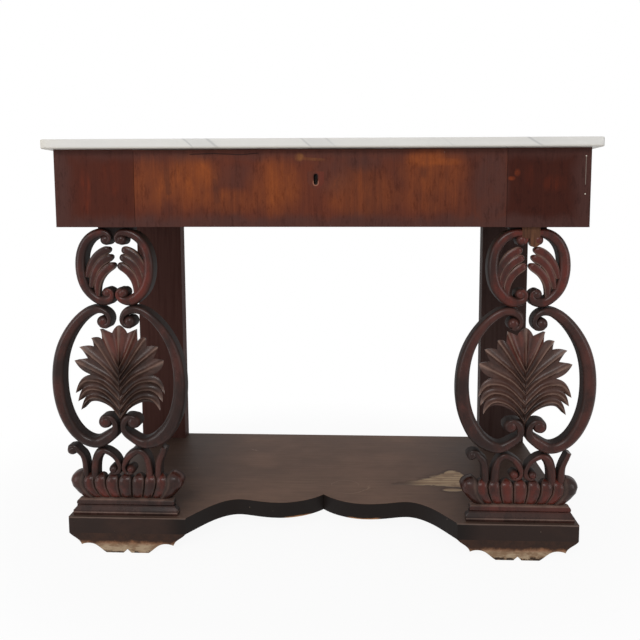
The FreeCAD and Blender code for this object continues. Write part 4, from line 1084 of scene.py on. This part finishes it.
# %% Rear pilasters
plank = Finish("pilaster_wood", Specular_IOR_Level=0.04)
grain = plank.noise(7.0, (20.0, 8.0, 0.7), detail=6.0, rough=0.6)
cloud = plank.noise(5.0, (1.0, 1.0, 0.5), detail=3.0)
colour = plank.mix(cloud, linear(44, 28, 25), linear(62, 41, 37))
colour = plank.mix(plank.x.step(0.2, -0.2) * 0.8, colour, linear(76, 49, 44))
colour = plank.mix(plank.x.step(-0.2, 0.2) * 0.4, colour, linear(70, 58, 55))
colour = plank.shade(grain.step(0.4, 0.7) * 0.5, colour, linear(190, 170, 165))
plank.finish(colour, 0.45 + cloud * 0.15, grain, 0.0004)
plank.cover(*both("rear_pilaster"))

# %% [markdown]
# ## Mended corner and keyhole shield
# A newer piece of brown wood mends the top of the right support. The keyhole sits in a shield of inlaid wood
# in two halves, with a ring round the slot that is pale below it and dark above. The ring is a step on the
# distance from the slot, a short upright line with round ends; a plain oval would not follow the slot's
# straight sides.

# %% Mended corner and keyhole shield
mend = Finish("repair_wood", Specular_IOR_Level=0.12)
grain = mend.noise(10.0, (16.0, 6.0, 1.2), detail=5.0)
colour = mend.mix(grain.step(0.35, 0.7), linear(72, 45, 32), linear(108, 72, 50))
mend.finish(colour, 0.5 + grain * 0.1, grain, 0.0004)
mend.cover("repair_block")

inlay = Finish("inlay", Specular_IOR_Level=0.12)
grain = inlay.noise(10.0, (30.0, 6.0, 1.2), detail=5.0)
colour = inlay.mix(inlay.x.step(-0.007, -0.005), linear(90, 46, 33), linear(96, 45, 33))
colour = inlay.shade(grain.step(0.4, 0.7) * 0.5, colour, linear(190, 165, 150))
slot_x, slot_z, slot_half, slot_round = -0.006, 0.842, 0.0075, 0.0045
beside_slot = inlay.x - slot_x
past_slot = ((inlay.z - slot_z).size() - slot_half).most(0.0)
ring = ((beside_slot * beside_slot + past_slot * past_slot) ** 0.5 - slot_round).step(0.0030, 0.0010)
colour = inlay.mix(ring * inlay.z.step(0.842, 0.834) * 0.6, colour, linear(176, 122, 100))
colour = inlay.mix(ring * inlay.z.step(0.836, 0.846) * 0.5, colour, linear(60, 36, 30))
inlay.finish(colour, 0.42 + grain * 0.1)
inlay.cover("keyhole_shield")

# %% [markdown]
# ## Lock and inner wood
# Behind the keyhole is an iron lock with a brass bolt, both dull with age. The insides of the drawer and
# frieze are plain, unpolished timber. Nobody sees much of them, so a noise or two for each is enough.

# %% Lock and inner wood
iron = Finish("lock_iron", Metallic=0.9)
rust = iron.noise(60.0, detail=5.0)
colour = iron.mix(rust.step(0.45, 0.7), linear(92, 90, 88), linear(104, 74, 56))
iron.finish(colour, 0.45 + rust * 0.25, rust, 0.0003)
iron.cover("lock_plate", "lock_cap", "key_pin", "lock_screws")

brass = Finish("bolt_brass", Metallic=1.0)
tarnish = brass.noise(50.0, detail=4.0)
colour = brass.mix(tarnish, linear(150, 112, 60), linear(196, 158, 96))
brass.finish(colour, 0.3 + tarnish * 0.2, tarnish, 0.0002)
brass.cover("lock_bolt")

timber = Finish("inner_wood", Specular_IOR_Level=0.2)
grain = timber.noise(6.0, (1.0, 16.0, 16.0), detail=6.0, rough=0.6)
stain = timber.noise(4.0, (1.0, 1.0, 1.0), detail=4.0)
colour = timber.mix(grain.step(0.3, 0.7), linear(150, 112, 74), linear(178, 142, 100))
colour = timber.mix(stain.step(0.5, 0.75) * 0.5, colour, linear(112, 82, 56))
timber.finish(colour, 0.7 + grain * 0.1, grain, 0.0004)
timber.cover("frieze_back", "bottom_rail", "top_rail", *both("drawer_runner"), *both("drawer_guide"),
             *both("drawer_kicker"), "drawer_stops", "corner_blocks", *both("drawer_side"), "drawer_back",
             "drawer_bottom")
